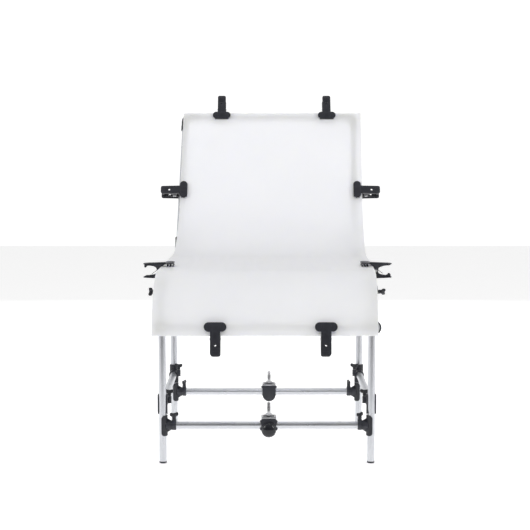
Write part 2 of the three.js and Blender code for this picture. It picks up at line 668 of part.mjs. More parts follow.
for (const [side, sign] of Object.entries(SIDES)) {
  addLegs(side, sign);
  addRail(side, sign);
  addPart(`side_tube_${side}`, sideTube(sign * SIDE_X), materials.aluminium);
  addPart(`back_tube_${side}`, backTube(sign * SIDE_X), materials.aluminium);
  hingeKnob(side, sign);
}
addCrossbar('front', FRONT_LEG_DEPTH);
addCrossbar('rear', REAR_LEG_DEPTH);
addHolder('front', HOLDER_X.front, FRONT_LEG_DEPTH, -1);
addHolder('rear', HOLDER_X.rear, REAR_LEG_DEPTH, 1);

const lipUp = new THREE.Vector3(0, Math.cos(LIP_ANGLE), Math.sin(LIP_ANGLE));
addPart('lip_bar', corneredBar(LIP_BAR, lipUp, LIP_ELBOW_REACH), materials.aluminium);
const topLean = lean(BACK_LENGTH - TOP_BAR_DROP);
const backDown = at(0, onBack(0, AXIS_DROP)).sub(at(topLean - lean(0), TOP_BAR)).normalize();
const topBar = corneredBar(TOP_BAR, backDown, ELBOW_REACH, topLean);
addPart('top_bar', topBar, materials.aluminium);
addSheet('sheet_front', frontLine);
addSheet('sheet_back', backLine);

const lipFace = new THREE.Vector3(0, -Math.sin(LIP_ANGLE), Math.cos(LIP_ANGLE));
const lipDown = new THREE.Vector3(0, -Math.cos(LIP_ANGLE), -Math.sin(LIP_ANGLE));
const backFace = new THREE.Vector3(0, -BACK_DIRECTION[1], BACK_DIRECTION[0]);
const backUp = new THREE.Vector3(0, BACK_DIRECTION[0], BACK_DIRECTION[1]);

for (const [side, sign] of Object.entries(SIDES)) {
  const outward = X.clone().multiplyScalar(sign);
  const table = at(TABLE_CLAMP_X[side], [TABLE_CLAMP_DEPTH, TUBE_HEIGHT]);
  const back = at(BACK_CLAMP_X[side], onBack(BACK_CLAMP_UP, AXIS_DROP));
  addClamp(`front_${side}`, at(FRONT_CLAMP_X[side], LIP_BAR), lipDown, lipFace);
  addClamp(`table_${side}`, table, outward, Z);
  addClamp(`back_${side}`, back, outward, backFace);
  addClamp(`top_${side}`, at(TOP_CLAMP_X[side], TOP_BAR), backUp, backFace);
}

export default table;
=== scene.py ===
"""A shooting table for product photography: its looks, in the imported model's frame.

Shapes are written in millimetres and scaled once, when a piece is finished.
"""

import math

import bmesh
import bpy
from mathutils import Matrix, Vector


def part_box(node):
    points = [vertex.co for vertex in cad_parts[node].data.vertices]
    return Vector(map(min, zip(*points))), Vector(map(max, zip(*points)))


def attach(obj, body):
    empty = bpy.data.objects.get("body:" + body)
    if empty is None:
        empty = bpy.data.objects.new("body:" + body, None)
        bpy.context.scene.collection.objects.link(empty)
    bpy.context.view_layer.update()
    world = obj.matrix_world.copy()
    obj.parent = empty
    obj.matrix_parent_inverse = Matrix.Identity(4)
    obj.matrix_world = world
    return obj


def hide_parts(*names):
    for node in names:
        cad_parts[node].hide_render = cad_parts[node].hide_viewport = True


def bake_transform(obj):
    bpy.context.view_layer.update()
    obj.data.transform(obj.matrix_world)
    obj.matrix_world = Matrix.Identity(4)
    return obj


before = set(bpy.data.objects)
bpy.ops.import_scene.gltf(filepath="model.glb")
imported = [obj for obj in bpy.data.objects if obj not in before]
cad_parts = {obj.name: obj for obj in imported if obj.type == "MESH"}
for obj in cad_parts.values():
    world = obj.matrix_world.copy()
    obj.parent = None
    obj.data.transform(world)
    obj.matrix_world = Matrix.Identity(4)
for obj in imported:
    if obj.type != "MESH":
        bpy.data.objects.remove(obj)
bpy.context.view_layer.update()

MM = 0.001
DEG = math.pi / 180
GAP = 0.3

# The sheet's profile. Depths are measured from the sheet's front edge.
SHEET_WIDTH = 600
SHEET_THICKNESS = 1.5
FRONT_EDGE_HEIGHT = 366
LIP_STRAIGHT = 38
LIP_ANGLE = 75 * DEG
LIP_RADIUS = 160
TABLE_LENGTH = 393
COVE_RADIUS = 330
BACK_ANGLE = 62 * DEG
BACK_LENGTH = 303
DEPTH_TO_ORIGIN = 513.07
CENTRE_X = 12.25
SHEET_SHIFT = -6
SHEET_SKEW = 0.027
SHEET_SAG = 1.2
EDGE_WAVE = 0.9
SLOW_WAVE = 0.5
BACK_LEAN = 12

# Frame and fittings, as in the CAD model.
TUBE_RADIUS = 10
SIDE_X = 284.5
TEE_WALL = 3
TEE_REACH = 37
TEE_SADDLE = 56
TEE_KNOB_REACH = 31
LEG_KNOB_REACH = 12.5
RAIL_KNOB_SIDE = 16
BEND_ROOM = 1.3
SLEEVE_BORE = 10.5
SLEEVE_RADIUS = 13.5
AXIS_DROP = 14.55
FORK_REACH = 17
FORK_SLEEVE = 34
CHEEK_RADIUS = 14
CHEEK_THICKNESS = 4
TONGUE_THICKNESS = 10
TONGUE_REACH = 24
HINGE_HOLE = 4.4
HINGE_PIN = 4
ELBOW_REACH = 45
LIP_ELBOW_REACH = 16
BAR_INSET = 23
TOP_BAR_DROP = 12

# Spring clamps.
CLAMP_LENGTH = 88
CLAMP_PIVOT = 43
CLAMP_WIDTH = 27
CLAMP_WALL = 2.5
CLAMP_HOLE = 60
CLAMP_RISE = 3.2
CLAMP_TIP = 24.3
CLAMP_END = 20
PAD_LENGTH = 60
PAD_DEPTH = 25
PAD_GAP = 0.8
TABLE_CLAMP_X = {"left": -275.5, "right": 280}
BACK_CLAMP_X = {"left": -272, "right": 300}
TABLE_CLAMP_DEPTH = 275
BACK_CLAMP_UP = 14
SPRING_RADIUS = 5.0
SPRING_WIRE_RADIUS = 0.95
SPRING_TURNS = 5
SPRING_LENGTH = 12.5
SPRING_LEGS = ((21, -6.2, 13.0), (21, 6.2, -10.0))

# Light holders.
HOLDER_HALF_WIDTH = 20
HOLDER_HALF_DEPTH = 15
HOLDER_TOP = 20
STUD_TOP = 64
HOLDER_KNOB_RADIUS = 20
HOLDER_KNOB_DROP = 8

# Camera and light, in metres and degrees.
CAMERA_PLACE = (-0.0239, -3.7056, 0.9017)
CAMERA_LENS = 83.2
CAMERA_DOWN = 6.205
CAMERA_TURN = -0.111
EVEN_LIGHT = 0.58
MIRRORED_FRONT = 0.19
MIRRORED_BACK = 0.82
BACKDROP = 1.1
FLOOR_GLOW = 0.34

TABLE_START = LIP_STRAIGHT * math.cos(LIP_ANGLE) + LIP_RADIUS * math.sin(LIP_ANGLE)
TABLE_HEIGHT = (
    FRONT_EDGE_HEIGHT + LIP_STRAIGHT * math.sin(LIP_ANGLE) + LIP_RADIUS * (1 - math.cos(LIP_ANGLE))
)
COVE_START = TABLE_START + TABLE_LENGTH
TUBE_HEIGHT = TABLE_HEIGHT - AXIS_DROP
BACK_WAY = (math.cos(BACK_ANGLE), math.sin(BACK_ANGLE))
BACK_START = (
    COVE_START + COVE_RADIUS * math.sin(BACK_ANGLE),
    TABLE_HEIGHT + COVE_RADIUS * (1 - math.cos(BACK_ANGLE)),
)
LIP_CENTRE = (TABLE_START, TABLE_HEIGHT - LIP_RADIUS)
COVE_CENTRE = (COVE_START, TABLE_HEIGHT + COVE_RADIUS)

X = Vector((1, 0, 0))
Y = Vector((0, 1, 0))
Z = Vector((0, 0, 1))


def on_back(along, behind=0.0):
    """A point on the straight back, a distance up from the cove and behind the sheet."""
    return (
        BACK_START[0] + along * BACK_WAY[0] + behind * BACK_WAY[1],
        BACK_START[1] + along * BACK_WAY[1] - behind * BACK_WAY[0],
    )


def on_lip(along, behind=0.0):
    """A point on the straight lip, a distance up from the front edge and behind the sheet."""
    return (
        along * math.cos(LIP_ANGLE) + behind * math.sin(LIP_ANGLE),
        FRONT_EDGE_HEIGHT + along * math.sin(LIP_ANGLE) - behind * math.cos(LIP_ANGLE),
    )


BACK_AXIS = on_back(0, AXIS_DROP)
HINGE_BACK_OFF = (BACK_AXIS[1] - TUBE_HEIGHT) / BACK_WAY[1]
HINGE = (BACK_AXIS[0] - HINGE_BACK_OFF * BACK_WAY[0], TUBE_HEIGHT)
TOP_BAR = on_back(BACK_LENGTH - TOP_BAR_DROP, AXIS_DROP)
LIP_BAR = on_lip(BAR_INSET, AXIS_DROP)
LIP_UP = Vector((0, math.cos(LIP_ANGLE), math.sin(LIP_ANGLE)))
LIP_FACE = Vector((0, -math.sin(LIP_ANGLE), math.cos(LIP_ANGLE)))
BACK_UP = Vector((0, BACK_WAY[0], BACK_WAY[1]))
BACK_FACE = Vector((0, -BACK_WAY[1], BACK_WAY[0]))


def at(x, place):
    """World position in millimetres from an X, a depth behind the front edge and a height."""
    return Vector((x - CENTRE_X, place[0] - DEPTH_TO_ORIGIN, place[1]))


def lean(along):
    """How far the back has leaned over to the right, a distance up from the cove."""
    return BACK_LEAN * (along + HINGE_BACK_OFF) / (BACK_LENGTH + HINGE_BACK_OFF)


def node_centre(node):
    """Middle of a CAD node's box, in millimetres."""
    low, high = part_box(node)
    return (low + high) / 2 / MM


def arc(centre, radius, start, end, steps):
    """Points of an arc in a plane, both ends included."""
    points = []
    for step in range(steps + 1):
        angle = start + (end - start) * step / steps
        points.append((centre[0] + radius * math.cos(angle), centre[1] + radius * math.sin(angle)))
    return points


def basis(x_way, z_way, origin):
    """A frame at a point, from its X and Z directions."""
    x_axis = Vector(x_way).normalized()
    z_axis = Vector(z_way).normalized()
    y_axis = z_axis.cross(x_axis)
    matrix = Matrix((x_axis, y_axis, z_axis)).transposed().to_4x4()
    matrix.translation = origin
    return matrix


# ---------------------------------------------------------------- materials


def new_material(name, base, roughness, metallic=0.0):
    """A principled material and the parts of its node tree."""
    material = bpy.data.materials.new(name)
    material.use_nodes = True
    tree = material.node_tree
    shader = tree.nodes["Principled BSDF"]
    shader.inputs["Base Color"].default_value = (*base, 1)
    shader.inputs["Roughness"].default_value = roughness
    shader.inputs["Metallic"].default_value = metallic
    return material, tree, shader


def add_noise(tree, scale, detail, stretch=(1, 1, 1), source="Object", distortion=0.0):
    """A noise texture in object or UV space, stretched along its axes."""
    place = tree.nodes.new("ShaderNodeTexCoord")
    mapping = tree.nodes.new("ShaderNodeMapping")
    mapping.inputs["Scale"].default_value = stretch
    noise = tree.nodes.new("ShaderNodeTexNoise")
    noise.inputs["Scale"].default_value = scale
    noise.inputs["Detail"].default_value = detail
    noise.inputs["Distortion"].default_value = distortion
    tree.links.new(place.outputs[source], mapping.inputs["Vector"])
    tree.links.new(mapping.outputs["Vector"], noise.inputs["Vector"])
    return noise.outputs["Fac"]


def add_ramp(tree, value, low, high, start=0.3, end=0.7):
    """A colour ramp between two grey levels or colours."""
    ramp = tree.nodes.new("ShaderNodeValToRGB")
    for element, position, level in zip(ramp.color_ramp.elements, (start, end), (low, high)):
        colour = level if isinstance(level, tuple) else (level, level, level)
        element.position = position
        element.color = (*colour, 1)
    tree.links.new(value, ramp.inputs["Fac"])
    return ramp.outputs["Color"]


def add_bump(tree, shader, height, strength, distance):
    """A bump from a height."""
    bump = tree.nodes.new("ShaderNodeBump")
    bump.inputs["Strength"].default_value = strength
    bump.inputs["Distance"].default_value = distance
    tree.links.new(height, bump.inputs["Height"])
    tree.links.new(bump.outputs["Normal"], shader.inputs["Normal"])


def add_grain(tree, shader, colour_noise, colours, rough_noise, roughness, bump):
    """Colour from one noise, and roughness and a bump from another."""
    tree.links.new(add_ramp(tree, colour_noise, *colours), shader.inputs["Base Color"])
    tree.links.new(add_ramp(tree, rough_noise, *roughness), shader.inputs["Roughness"])
    add_bump(tree, shader, rough_noise, *bump)


def blend_colours(tree, factor, first, second):
    """Mixes two colours, each a socket or a tuple."""
    mix = tree.nodes.new("ShaderNodeMix")
    mix.data_type = "RGBA"
    if isinstance(factor, float):
        mix.inputs["Factor"].default_value = factor
    else:
        tree.links.new(factor, mix.inputs["Factor"])
    for socket, value in (("A", first), ("B", second)):
        target = next(i for i in mix.inputs if i.name == socket and i.type == "RGBA")
        if isinstance(value, tuple):
            target.default_value = (*value, 1)
        else:
            tree.links.new(value, target)
    return next(o for o in mix.outputs if o.type == "RGBA")


def anodised_aluminium():
    """Satin tube: fine drawing lines along it, faint handling marks, uneven sheen."""
    material, tree, shader = new_material("anodised_aluminium", (0.74, 0.755, 0.79), 0.3, 0.92)
    lines = add_noise(tree, 1, 3, (2400, 14, 1), "UV")
    marks = add_noise(tree, 1, 5, (60, 26, 1), "UV", 0.6)
    cloud = add_noise(tree, 9, 2)
    tint = add_ramp(tree, cloud, (0.60, 0.612, 0.645), (0.67, 0.68, 0.705))
    streaked = blend_colours(tree, add_ramp(tree, lines, 0.0, 0.35), tint, (0.52, 0.535, 0.57))
    tree.links.new(streaked, shader.inputs["Base Color"])
    rough = blend_colours(tree, 0.5, add_ramp(tree, lines, 0.24, 0.36), add_ramp(tree, marks, 0.22, 0.42))
    tree.links.new(rough, shader.inputs["Roughness"])
    add_bump(tree, shader, lines, 0.1, 0.00004)
    return material


def moulded_nylon(name, dark, light, roughness):
    """Black moulded plastic with a fine spark texture, and its sharp edges lightened: rubbed wear and a
    painted edge highlight.
    """
    material, tree, shader = new_material(name, dark, roughness)
    grain = add_noise(tree, 1700, 2)
    flow = add_noise(tree, 55, 3, (1, 1, 1), "Object", 0.5)
    colour = add_ramp(tree, flow, dark, light)
    # Sharp edges, picked out by pointiness, are lightened: partly rubbed wear, partly a painted highlight
    # along the edges.
    geometry = tree.nodes.new("ShaderNodeNewGeometry")
    worn_and_highlit_edges = add_ramp(tree, geometry.outputs["Pointiness"], 0.0, 0.45, 0.52, 0.60)
    wear_and_highlight_colour = tuple(min(1.0, value * 2.6 + 0.01) for value in light)
    tree.links.new(blend_colours(tree, worn_and_highlit_edges, colour, wear_and_highlight_colour), shader.inputs["Base Color"])
    tree.links.new(
        add_ramp(tree, grain, roughness - 0.09, roughness + 0.12), shader.inputs["Roughness"]
    )
    add_bump(tree, shader, grain, 0.25, 0.00006)
    return material


def sheet_plastic():
    """White translucent satin plastic, lightly clouded, with hair-fine handling marks."""
    material, tree, shader = new_material("sheet_plastic", (0.87, 0.875, 0.9), 0.42)
    shader.inputs["Transmission Weight"].default_value = 0.16
    shader.inputs["Subsurface Weight"].default_value = 0.75
    shader.inputs["Subsurface Radius"].default_value = (0.006, 0.006, 0.007)
    shader.inputs["Subsurface Scale"].default_value = 0.6
    shader.inputs["IOR"].default_value = 1.46
    shader.inputs["Specular IOR Level"].default_value = 0.28
    cloud = add_noise(tree, 4.5, 3)
    fine = add_noise(tree, 900, 2)
    marks = add_noise(tree, 60, 4, (1, 0.08, 0.08), "Object", 0.3)
    colour = add_ramp(tree, cloud, (0.855, 0.862, 0.892), (0.875, 0.88, 0.903))
    tree.links.new(colour, shader.inputs["Base Color"])
    rough = blend_colours(tree, 0.5, add_ramp(tree, fine, 0.36, 0.46), add_ramp(tree, marks, 0.34, 0.5))
    tree.links.new(rough, shader.inputs["Roughness"])
    add_bump(tree, shader, fine, 0.12, 0.00005)
    return material


def bright_steel():
    """Turned and plated steel: studs, pins and springs."""
    material, tree, shader = new_material("bright_steel", (0.6, 0.6, 0.61), 0.25, 1.0)
    turning = add_noise(tree, 900, 2, (0.1, 0.1, 4))
    spots = add_noise(tree, 300, 3)
    colours = ((0.52, 0.525, 0.54), (0.70, 0.70, 0.71))
    add_grain(tree, shader, spots, colours, turning, (0.16, 0.34), (0.15, 0.00005))
    return material


def soft_rubber():
    """Dull pad rubber with a fine tooth."""
    material, tree, shader = new_material("pad_rubber", (0.06, 0.06, 0.066), 0.8)
    tooth = add_noise(tree, 1100, 3)
    colours = ((0.045, 0.045, 0.05), (0.08, 0.08, 0.088))
    add_grain(tree, shader, tooth, colours, tooth, (0.7, 0.9), (0.4, 0.0001))
    return material


def grey_plastic():
    """The pale grey plugs in the tube ends."""
    material, tree, shader = new_material("plug_plastic", (0.6, 0.61, 0.63), 0.5)
    grain = add_noise(tree, 700, 2)
    colours = ((0.56, 0.57, 0.59), (0.65, 0.66, 0.68))
    add_grain(tree, shader, grain, colours, grain, (0.42, 0.6), (0.2, 0.00006))
    return material


ALUMINIUM = anodised_aluminium()
NYLON = moulded_nylon("black_nylon", (0.011, 0.012, 0.017), (0.018, 0.019, 0.026), 0.40)
GLOSS_NYLON = moulded_nylon("gloss_nylon", (0.006, 0.007, 0.010), (0.010, 0.011, 0.015), 0.17)
KNOB_NYLON = moulded_nylon("knob_nylon", (0.009, 0.010, 0.013), (0.015, 0.016, 0.021), 0.32)
SHEET = sheet_plastic()
STEEL = bright_steel()
RUBBER = soft_rubber()
PLUG = grey_plastic()

# ---------------------------------------------------------------- shapes


def mesh_of(bm):
    """The mesh of a bmesh, which is freed."""
    bmesh.ops.recalc_face_normals(bm, faces=bm.faces)
    mesh = bpy.data.meshes.new("shape")
    bm.to_mesh(mesh)
    bm.free()
    return mesh


def soften(bm, width, segments=2, angle=38):
    """Rounds the edges of a bmesh that are sharper than an angle."""
    edges = [e for e in bm.edges if e.is_manifold and e.calc_face_angle(0) > angle * DEG]
    bmesh.ops.bevel(bm, geom=edges, offset=width, segments=segments, affect="EDGES", clamp_overlap=True)


def plate(outline, thickness, bevel=0.5, holes=(), flat="XY"):
    """A plate with rounded edges. Its outline lies in XY, or in XZ with its thickness along Y."""
    curve = bpy.data.curves.new("plate", "CURVE")
    curve.dimensions = "2D"
    curve.fill_mode = "BOTH"
    curve.extrude = thickness / 2 - bevel
    curve.bevel_depth = bevel
    curve.bevel_resolution = 1
    curve.offset = -bevel
    for ring in (outline, *holes):
        spline = curve.splines.new("POLY")
        spline.points.add(len(ring) - 1)
        for point, (across, up) in zip(spline.points, ring):
            point.co = (across, up, 0, 1)
        spline.use_cyclic_u = True
    holder = bpy.data.objects.new("plate", curve)
    mesh = bpy.data.meshes.new_from_object(holder)
    bpy.data.objects.remove(holder)
    bpy.data.curves.remove(curve)
    bm = bmesh.new()
    bm.from_mesh(mesh)
    bpy.data.meshes.remove(mesh)
    bmesh.ops.remove_doubles(bm, verts=bm.verts, dist=0.0005)
    if flat == "XZ":
        bmesh.ops.transform(bm, matrix=Matrix.Rotation(math.pi / 2, 4, "X"), verts=bm.verts)
    return mesh_of(bm)


def strip(bm, first, second):
    """Joins two lines of vertices with quads."""
    for index in range(len(first) - 1):
        bm.faces.new((first[index], first[index + 1], second[index + 1], second[index]))


def shell_faces(bm, inside, outside):
    """Closes the shell between two grids of vertices: both surfaces and the four edges."""
    for grid in (inside, outside):
        for first, second in zip(grid, grid[1:]):
            strip(bm, first, second)
    for end in (0, -1):
        strip(bm, inside[end], outside[end])
        strip(bm, [line[end] for line in inside], [line[end] for line in outside])


def ring_faces(bm, rings, closed_ends=True):
    """Joins rings of vertices with quads, and closes both ends."""
    for first, second in zip(rings, rings[1:]):
        strip(bm, [*first, first[0]], [*second, second[0]])
    if closed_ends:
        bm.faces.new(list(reversed(rings[0])))
        bm.faces.new(rings[-1])


def turned_rings(bm, profile, sides):
    """A ring of vertices around Z for each [radius, height] point."""
    rings = []
    for radius, height in profile:
        ring = []
        for side in range(sides):
            angle = 2 * math.pi * side / sides
            ring.append(bm.verts.new((radius * math.cos(angle), radius * math.sin(angle), height)))
        rings.append(ring)
    return rings


def lathe(profile, sides=40):
    """A turned shape around Z from [radius, height] points. An end off the axis gets a flat cap."""
    bm = bmesh.new()
    ring_faces(bm, turned_rings(bm, profile, sides))
    return mesh_of(bm)


def sleeve(inner, profile, sides=40):
    """A turned tube around Z: an outside profile and a straight bore."""
    bm = bmesh.new()
    bore = [(inner, profile[-1][1]), (inner, profile[0][1])]
    rings = turned_rings(bm, [*profile, *bore], sides)
    ring_faces(bm, [*rings, rings[0]], closed_ends=False)
    return mesh_of(bm)


def sweep(points, radius, sides=40, seam=X):
    """A round bar along a line, with UVs in metres around and along it. seam is a side direction."""
    bm = bmesh.new()
    uv = bm.loops.layers.uv.new("UVMap")
    places = [Vector(point) for point in points]
    rings = []
    lengths = [0.0]
    for index, place in enumerate(places):
        before = places[max(index - 1, 0)]
        after = places[min(index + 1, len(places) - 1)]
        forward = (after - before).normalized()
        side_way = (seam - forward * seam.dot(forward)).normalized()
        up_way = forward.cross(side_way)
        ring = []
        for side in range(sides):
            angle = 2 * math.pi * side / sides
            shift = side_way * math.cos(angle) + up_way * math.sin(angle)
            ring.append(bm.verts.new(place + shift * radius))
        rings.append(ring)
        if index:
            lengths.append(lengths[-1] + (place - places[index - 1]).length * MM)
    around = 2 * math.pi * radius * MM / sides
    for row in range(len(rings) - 1):
        for side in range(sides):
            after = (side + 1) % sides
            corners = (rings[row][side], rings[row][after], rings[row + 1][after], rings[row + 1][side])
            face = bm.faces.new(corners)
            spots = ((side, row), (side + 1, row), (side + 1, row + 1), (side, row + 1))
            for loop, (turn, step) in zip(face.loops, spots):
                loop[uv].uv = (turn * around, lengths[step])
    bm.faces.new(list(reversed(rings[0])))
    bm.faces.new(rings[-1])
    return mesh_of(bm)


def saddle_shell(inner, wall, length, spread, corner=9.0):
    """Part of a tube around Z, centred on +X, with rounded corners. spread is half its angle."""
    bm = bmesh.new()
    rows = 28
    columns = 26
    grids = []
    for radius in (inner, inner + wall):
        grid = []
        for row in range(rows + 1):
            share = -math.cos(math.pi * row / rows)
            height = share * length / 2
            near_end = max(0.0, abs(height) - (length / 2 - corner))
            pull = corner - math.sqrt(max(0.0, corner * corner - near_end * near_end))
            reach = spread - pull / (inner + wall)
            line = []
            for column in range(columns + 1):
                angle = reach * (2 * column / columns - 1)
                line.append(bm.verts.new((radius * math.cos(angle), radius * math.sin(angle), height)))
            grid.append(line)
        grids.append(grid)
    shell_faces(bm, *grids)
    bmesh.ops.recalc_face_normals(bm, faces=bm.faces)
    soften(bm, 0.5, 1, 50)
    return mesh_of(bm)


def rounded(outline, radius, steps=4):
    """An outline whose corners are cut to arcs, as far as their sides allow."""
    points = []
    count = len(outline)
    for index, corner in enumerate(outline):
        here = Vector(corner)
        before = Vector(outline[index - 1])
        after = Vector(outline[(index + 1) % count])
        back_way = before - here
        fore_way = after - here
        reach = min(radius, back_way.length * 0.45, fore_way.length * 0.45)
        start = here + back_way.normalized() * reach
        end = here + fore_way.normalized() * reach
        for step in range(steps + 1):
            share = step / steps
            spot = start * (1 - share) ** 2 + here * 2 * share * (1 - share) + end * share**2
            points.append((spot.x, spot.y))
    return points


def circle(centre, radius, steps=24):
    """The points of a round hole, without a doubled end."""
    return arc(centre, radius, 0, 2 * math.pi, steps)[:-1]


def box_outline(half_width, half_height, centre=(0, 0)):
    """A rectangle's corners around a centre."""
    return [
        (centre[0] - half_width, centre[1] - half_height),
        (centre[0] + half_width, centre[1] - half_height),
        (centre[0] + half_width, centre[1] + half_height),
        (centre[0] - half_width, centre[1] + half_height),
    ]


def turn_to(way, origin):
    """A frame whose Z runs along a direction."""
    way = Vector(way).normalized()
    side = X if abs(way.dot(X)) < 0.9 else Y
    return basis((side - way * side.dot(way)).normalized(), way, origin)


class Piece:
    """Gathers shapes with their materials into one object."""

    def __init__(self, name, place=None):
        self.name = name
        self.place = place or Matrix.Identity(4)
        self.bm = bmesh.new()
        self.bm.loops.layers.uv.new("UVMap")
        self.materials = []

    def add(self, mesh, material, place=None):
        """Adds a shape at a frame within the piece's own frame."""
        if material not in self.materials:
            self.materials.append(material)
        mesh.transform(self.place @ (place or Matrix.Identity(4)))
        first = len(self.bm.faces)
        self.bm.from_mesh(mesh)
        self.bm.faces.ensure_lookup_table()
        for face in self.bm.faces[first:]:
            face.material_index = self.materials.index(material)
        bpy.data.meshes.remove(mesh)
        return self

    def finish(self, body=None, replaces=()):
        """Makes the object, in metres, and hands it to its body."""
        bmesh.ops.scale(self.bm, vec=(MM, MM, MM), verts=self.bm.verts)
        mesh = bpy.data.meshes.new(self.name)
        self.bm.to_mesh(mesh)
        self.bm.free()
        mesh.shade_smooth()
        mesh.set_sharp_from_angle(angle=40 * DEG)
        for material in self.materials:
            mesh.materials.append(material)
        piece = bpy.data.objects.new(self.name, mesh)
        bpy.context.scene.collection.objects.link(piece)
        if body:
            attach(piece, body)
        if replaces:
            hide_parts(*replaces)
        return piece


# ---------------------------------------------------------------- the sheet


def sheet_line():
    """The sheet's middle line as [depth, height, normal depth, normal height, length] rows."""
    rows = []

    def add(place, normal):
        length = 0.0
        if rows:
            last = rows[-1]
            length = last[4] + math.hypot(place[0] - last[0], place[1] - last[1])
        rows.append((place[0], place[1], normal[0], normal[1], length))

    lip_normal = (-math.sin(LIP_ANGLE), math.cos(LIP_ANGLE))
    for step in range(4):
        add(on_lip(LIP_STRAIGHT * step / 4), lip_normal)
    for step in range(33):
        angle = LIP_ANGLE * (1 - step / 32)
        add(
            (
                LIP_CENTRE[0] - LIP_RADIUS * math.sin(angle),
                LIP_CENTRE[1] + LIP_RADIUS * math.cos(angle),
            ),
            (-math.sin(angle), math.cos(angle)),
        )
    for step in range(1, 25):
        add((TABLE_START + TABLE_LENGTH * step / 24, TABLE_HEIGHT), (0, 1))
    for step in range(1, 37):
        angle = BACK_ANGLE * step / 36
        add(
            (
                COVE_CENTRE[0] + COVE_RADIUS * math.sin(angle),
                COVE_CENTRE[1] - COVE_RADIUS * math.cos(angle),
            ),
            (-math.sin(angle), math.cos(angle)),
        )
    for step in range(1, 21):
        add(on_back(BACK_LENGTH * step / 20), (-BACK_WAY[1], BACK_WAY[0]))
    return rows


def sheet_ripple(across, share):
    """How far the sheet stands off its middle line: a slow sag, and soft waves at its edges."""
    sag = -SHEET_SAG * (1 - across * across) * math.sin(math.pi * share)
    edge = EDGE_WAVE * across**4 * math.sin(2 * math.pi * (3.2 * share + 0.2 * across))
    wave = SLOW_WAVE * math.sin(2.1 * math.pi * across + 5 * share) * math.sin(math.pi * share)
    return sag + edge + wave


def make_sheet():
    """One flexible sheet from lip to top edge, lying slightly askew on its frame."""
    rows = sheet_line()
    total = rows[-1][4]
    columns = 64
    half = SHEET_THICKNESS / 2
    bm = bmesh.new()
    grids = []
    for side in (-1, 1):
        grid = []
        for depth, height, normal_depth, normal_height, length in rows:
            share = length / total
            shift = SHEET_SHIFT + SHEET_SKEW * depth
            line = []
            for column in range(columns + 1):
                across = 2 * column / columns - 1
                off = side * half + sheet_ripple(across, share)
                spot = (depth + off * normal_depth, height + off * normal_height)
                line.append(bm.verts.new(at(across * SHEET_WIDTH / 2 + shift, spot)))
            grid.append(line)
        grids.append(grid)
    shell_faces(bm, *grids)
    piece = Piece("flexible_sheet")
    piece.add(mesh_of(bm), SHEET)
    sheet = piece.finish(replaces=("sheet_front", "sheet_back"))
    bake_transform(sheet)
    return sheet


# ---------------------------------------------------------------- tees and knobs


def tee_shapes(
    piece, crossing=Z, saddle=TEE_SADDLE, bore=SLEEVE_BORE, opening=-3.0, knob=(TEE_KNOB_REACH, 0)
):
    """A split-collar tee: half shell round the crossed tube, ribbed socket, boss and ears.
    Its socket runs along +X and its knob stands along +Z, at knob's reach and side."""
    knob_reach, knob_side = knob
    crossing = Vector(crossing).normalized()
    toward = (X - crossing * X.dot(crossing)).normalized()
    shell_place = basis(toward, crossing, (0, 0, 0))
    outer = bore + TEE_WALL
    spread = math.acos(opening / outer)
    piece.add(saddle_shell(bore, TEE_WALL, saddle, spread), NYLON, shell_place)
    along_socket = Matrix.Rotation(math.pi / 2, 4, "Y")
    profile = [
        (SLEEVE_RADIUS - 1.4, 9.5), (SLEEVE_RADIUS - 0.3, 12), (SLEEVE_RADIUS - 0.3, 24.2),
        (SLEEVE_RADIUS - 1.3, 24.6), (SLEEVE_RADIUS - 1.3, 25.6), (SLEEVE_RADIUS, 26),
        (SLEEVE_RADIUS, TEE_REACH - 0.8), (SLEEVE_RADIUS - 0.8, TEE_REACH),
    ]
    piece.add(sleeve(TUBE_RADIUS + GAP, profile), NYLON, along_socket)
    if knob_side:
        sign = math.copysign(1, knob_side)
        ear = [
            (knob_reach - 5.8, 0), (knob_reach - 5.8, sign * 18), (knob_reach - 3.0, sign * 22),
            (knob_reach + 3.0, sign * 22), (TEE_REACH - 0.2, sign * 18), (TEE_REACH - 0.2, 0),
        ]
        for low, high in ((-3.0, 0.9), (2.1, 6.0)):
            lift = Matrix.Translation((0, 0, (low + high) / 2))
            piece.add(plate(rounded(ear, 1.5), high - low, 0.6), NYLON, lift)
    else:
        ear = rounded(box_outline(5.6, 3.2, (knob_reach, SLEEVE_RADIUS + 0.2)), 2.4)
        for shift in (-3.6, 3.6):
            lug = plate(ear, 4.2, 0.5, flat="XZ")
            piece.add(lug, NYLON, Matrix.Translation((0, shift, 0)))
    boss_foot = 4.0 if knob_side else SLEEVE_RADIUS - 2.5
    boss = [(6.2, boss_foot), (6.0, SLEEVE_RADIUS + 2.3), (5.4, SLEEVE_RADIUS + 3.0)]
    piece.add(lathe(boss, 28), NYLON, Matrix.Translation((knob_reach, knob_side, 0)))
    web = [(bore + 1, 0.0), (bore + 13, 0.0), (bore + 12, 6.5), (bore + 4.5, 12.5), (bore + 1, 18.0)]
    if abs(crossing.z) > 0.5:
        for side in (-1, 1):
            outline = [(across, side * (9 + up * 0.7)) for across, up in web]
            piece.add(plate(rounded(outline, 1.2), 3.0, 0.5, flat="XZ"), NYLON)


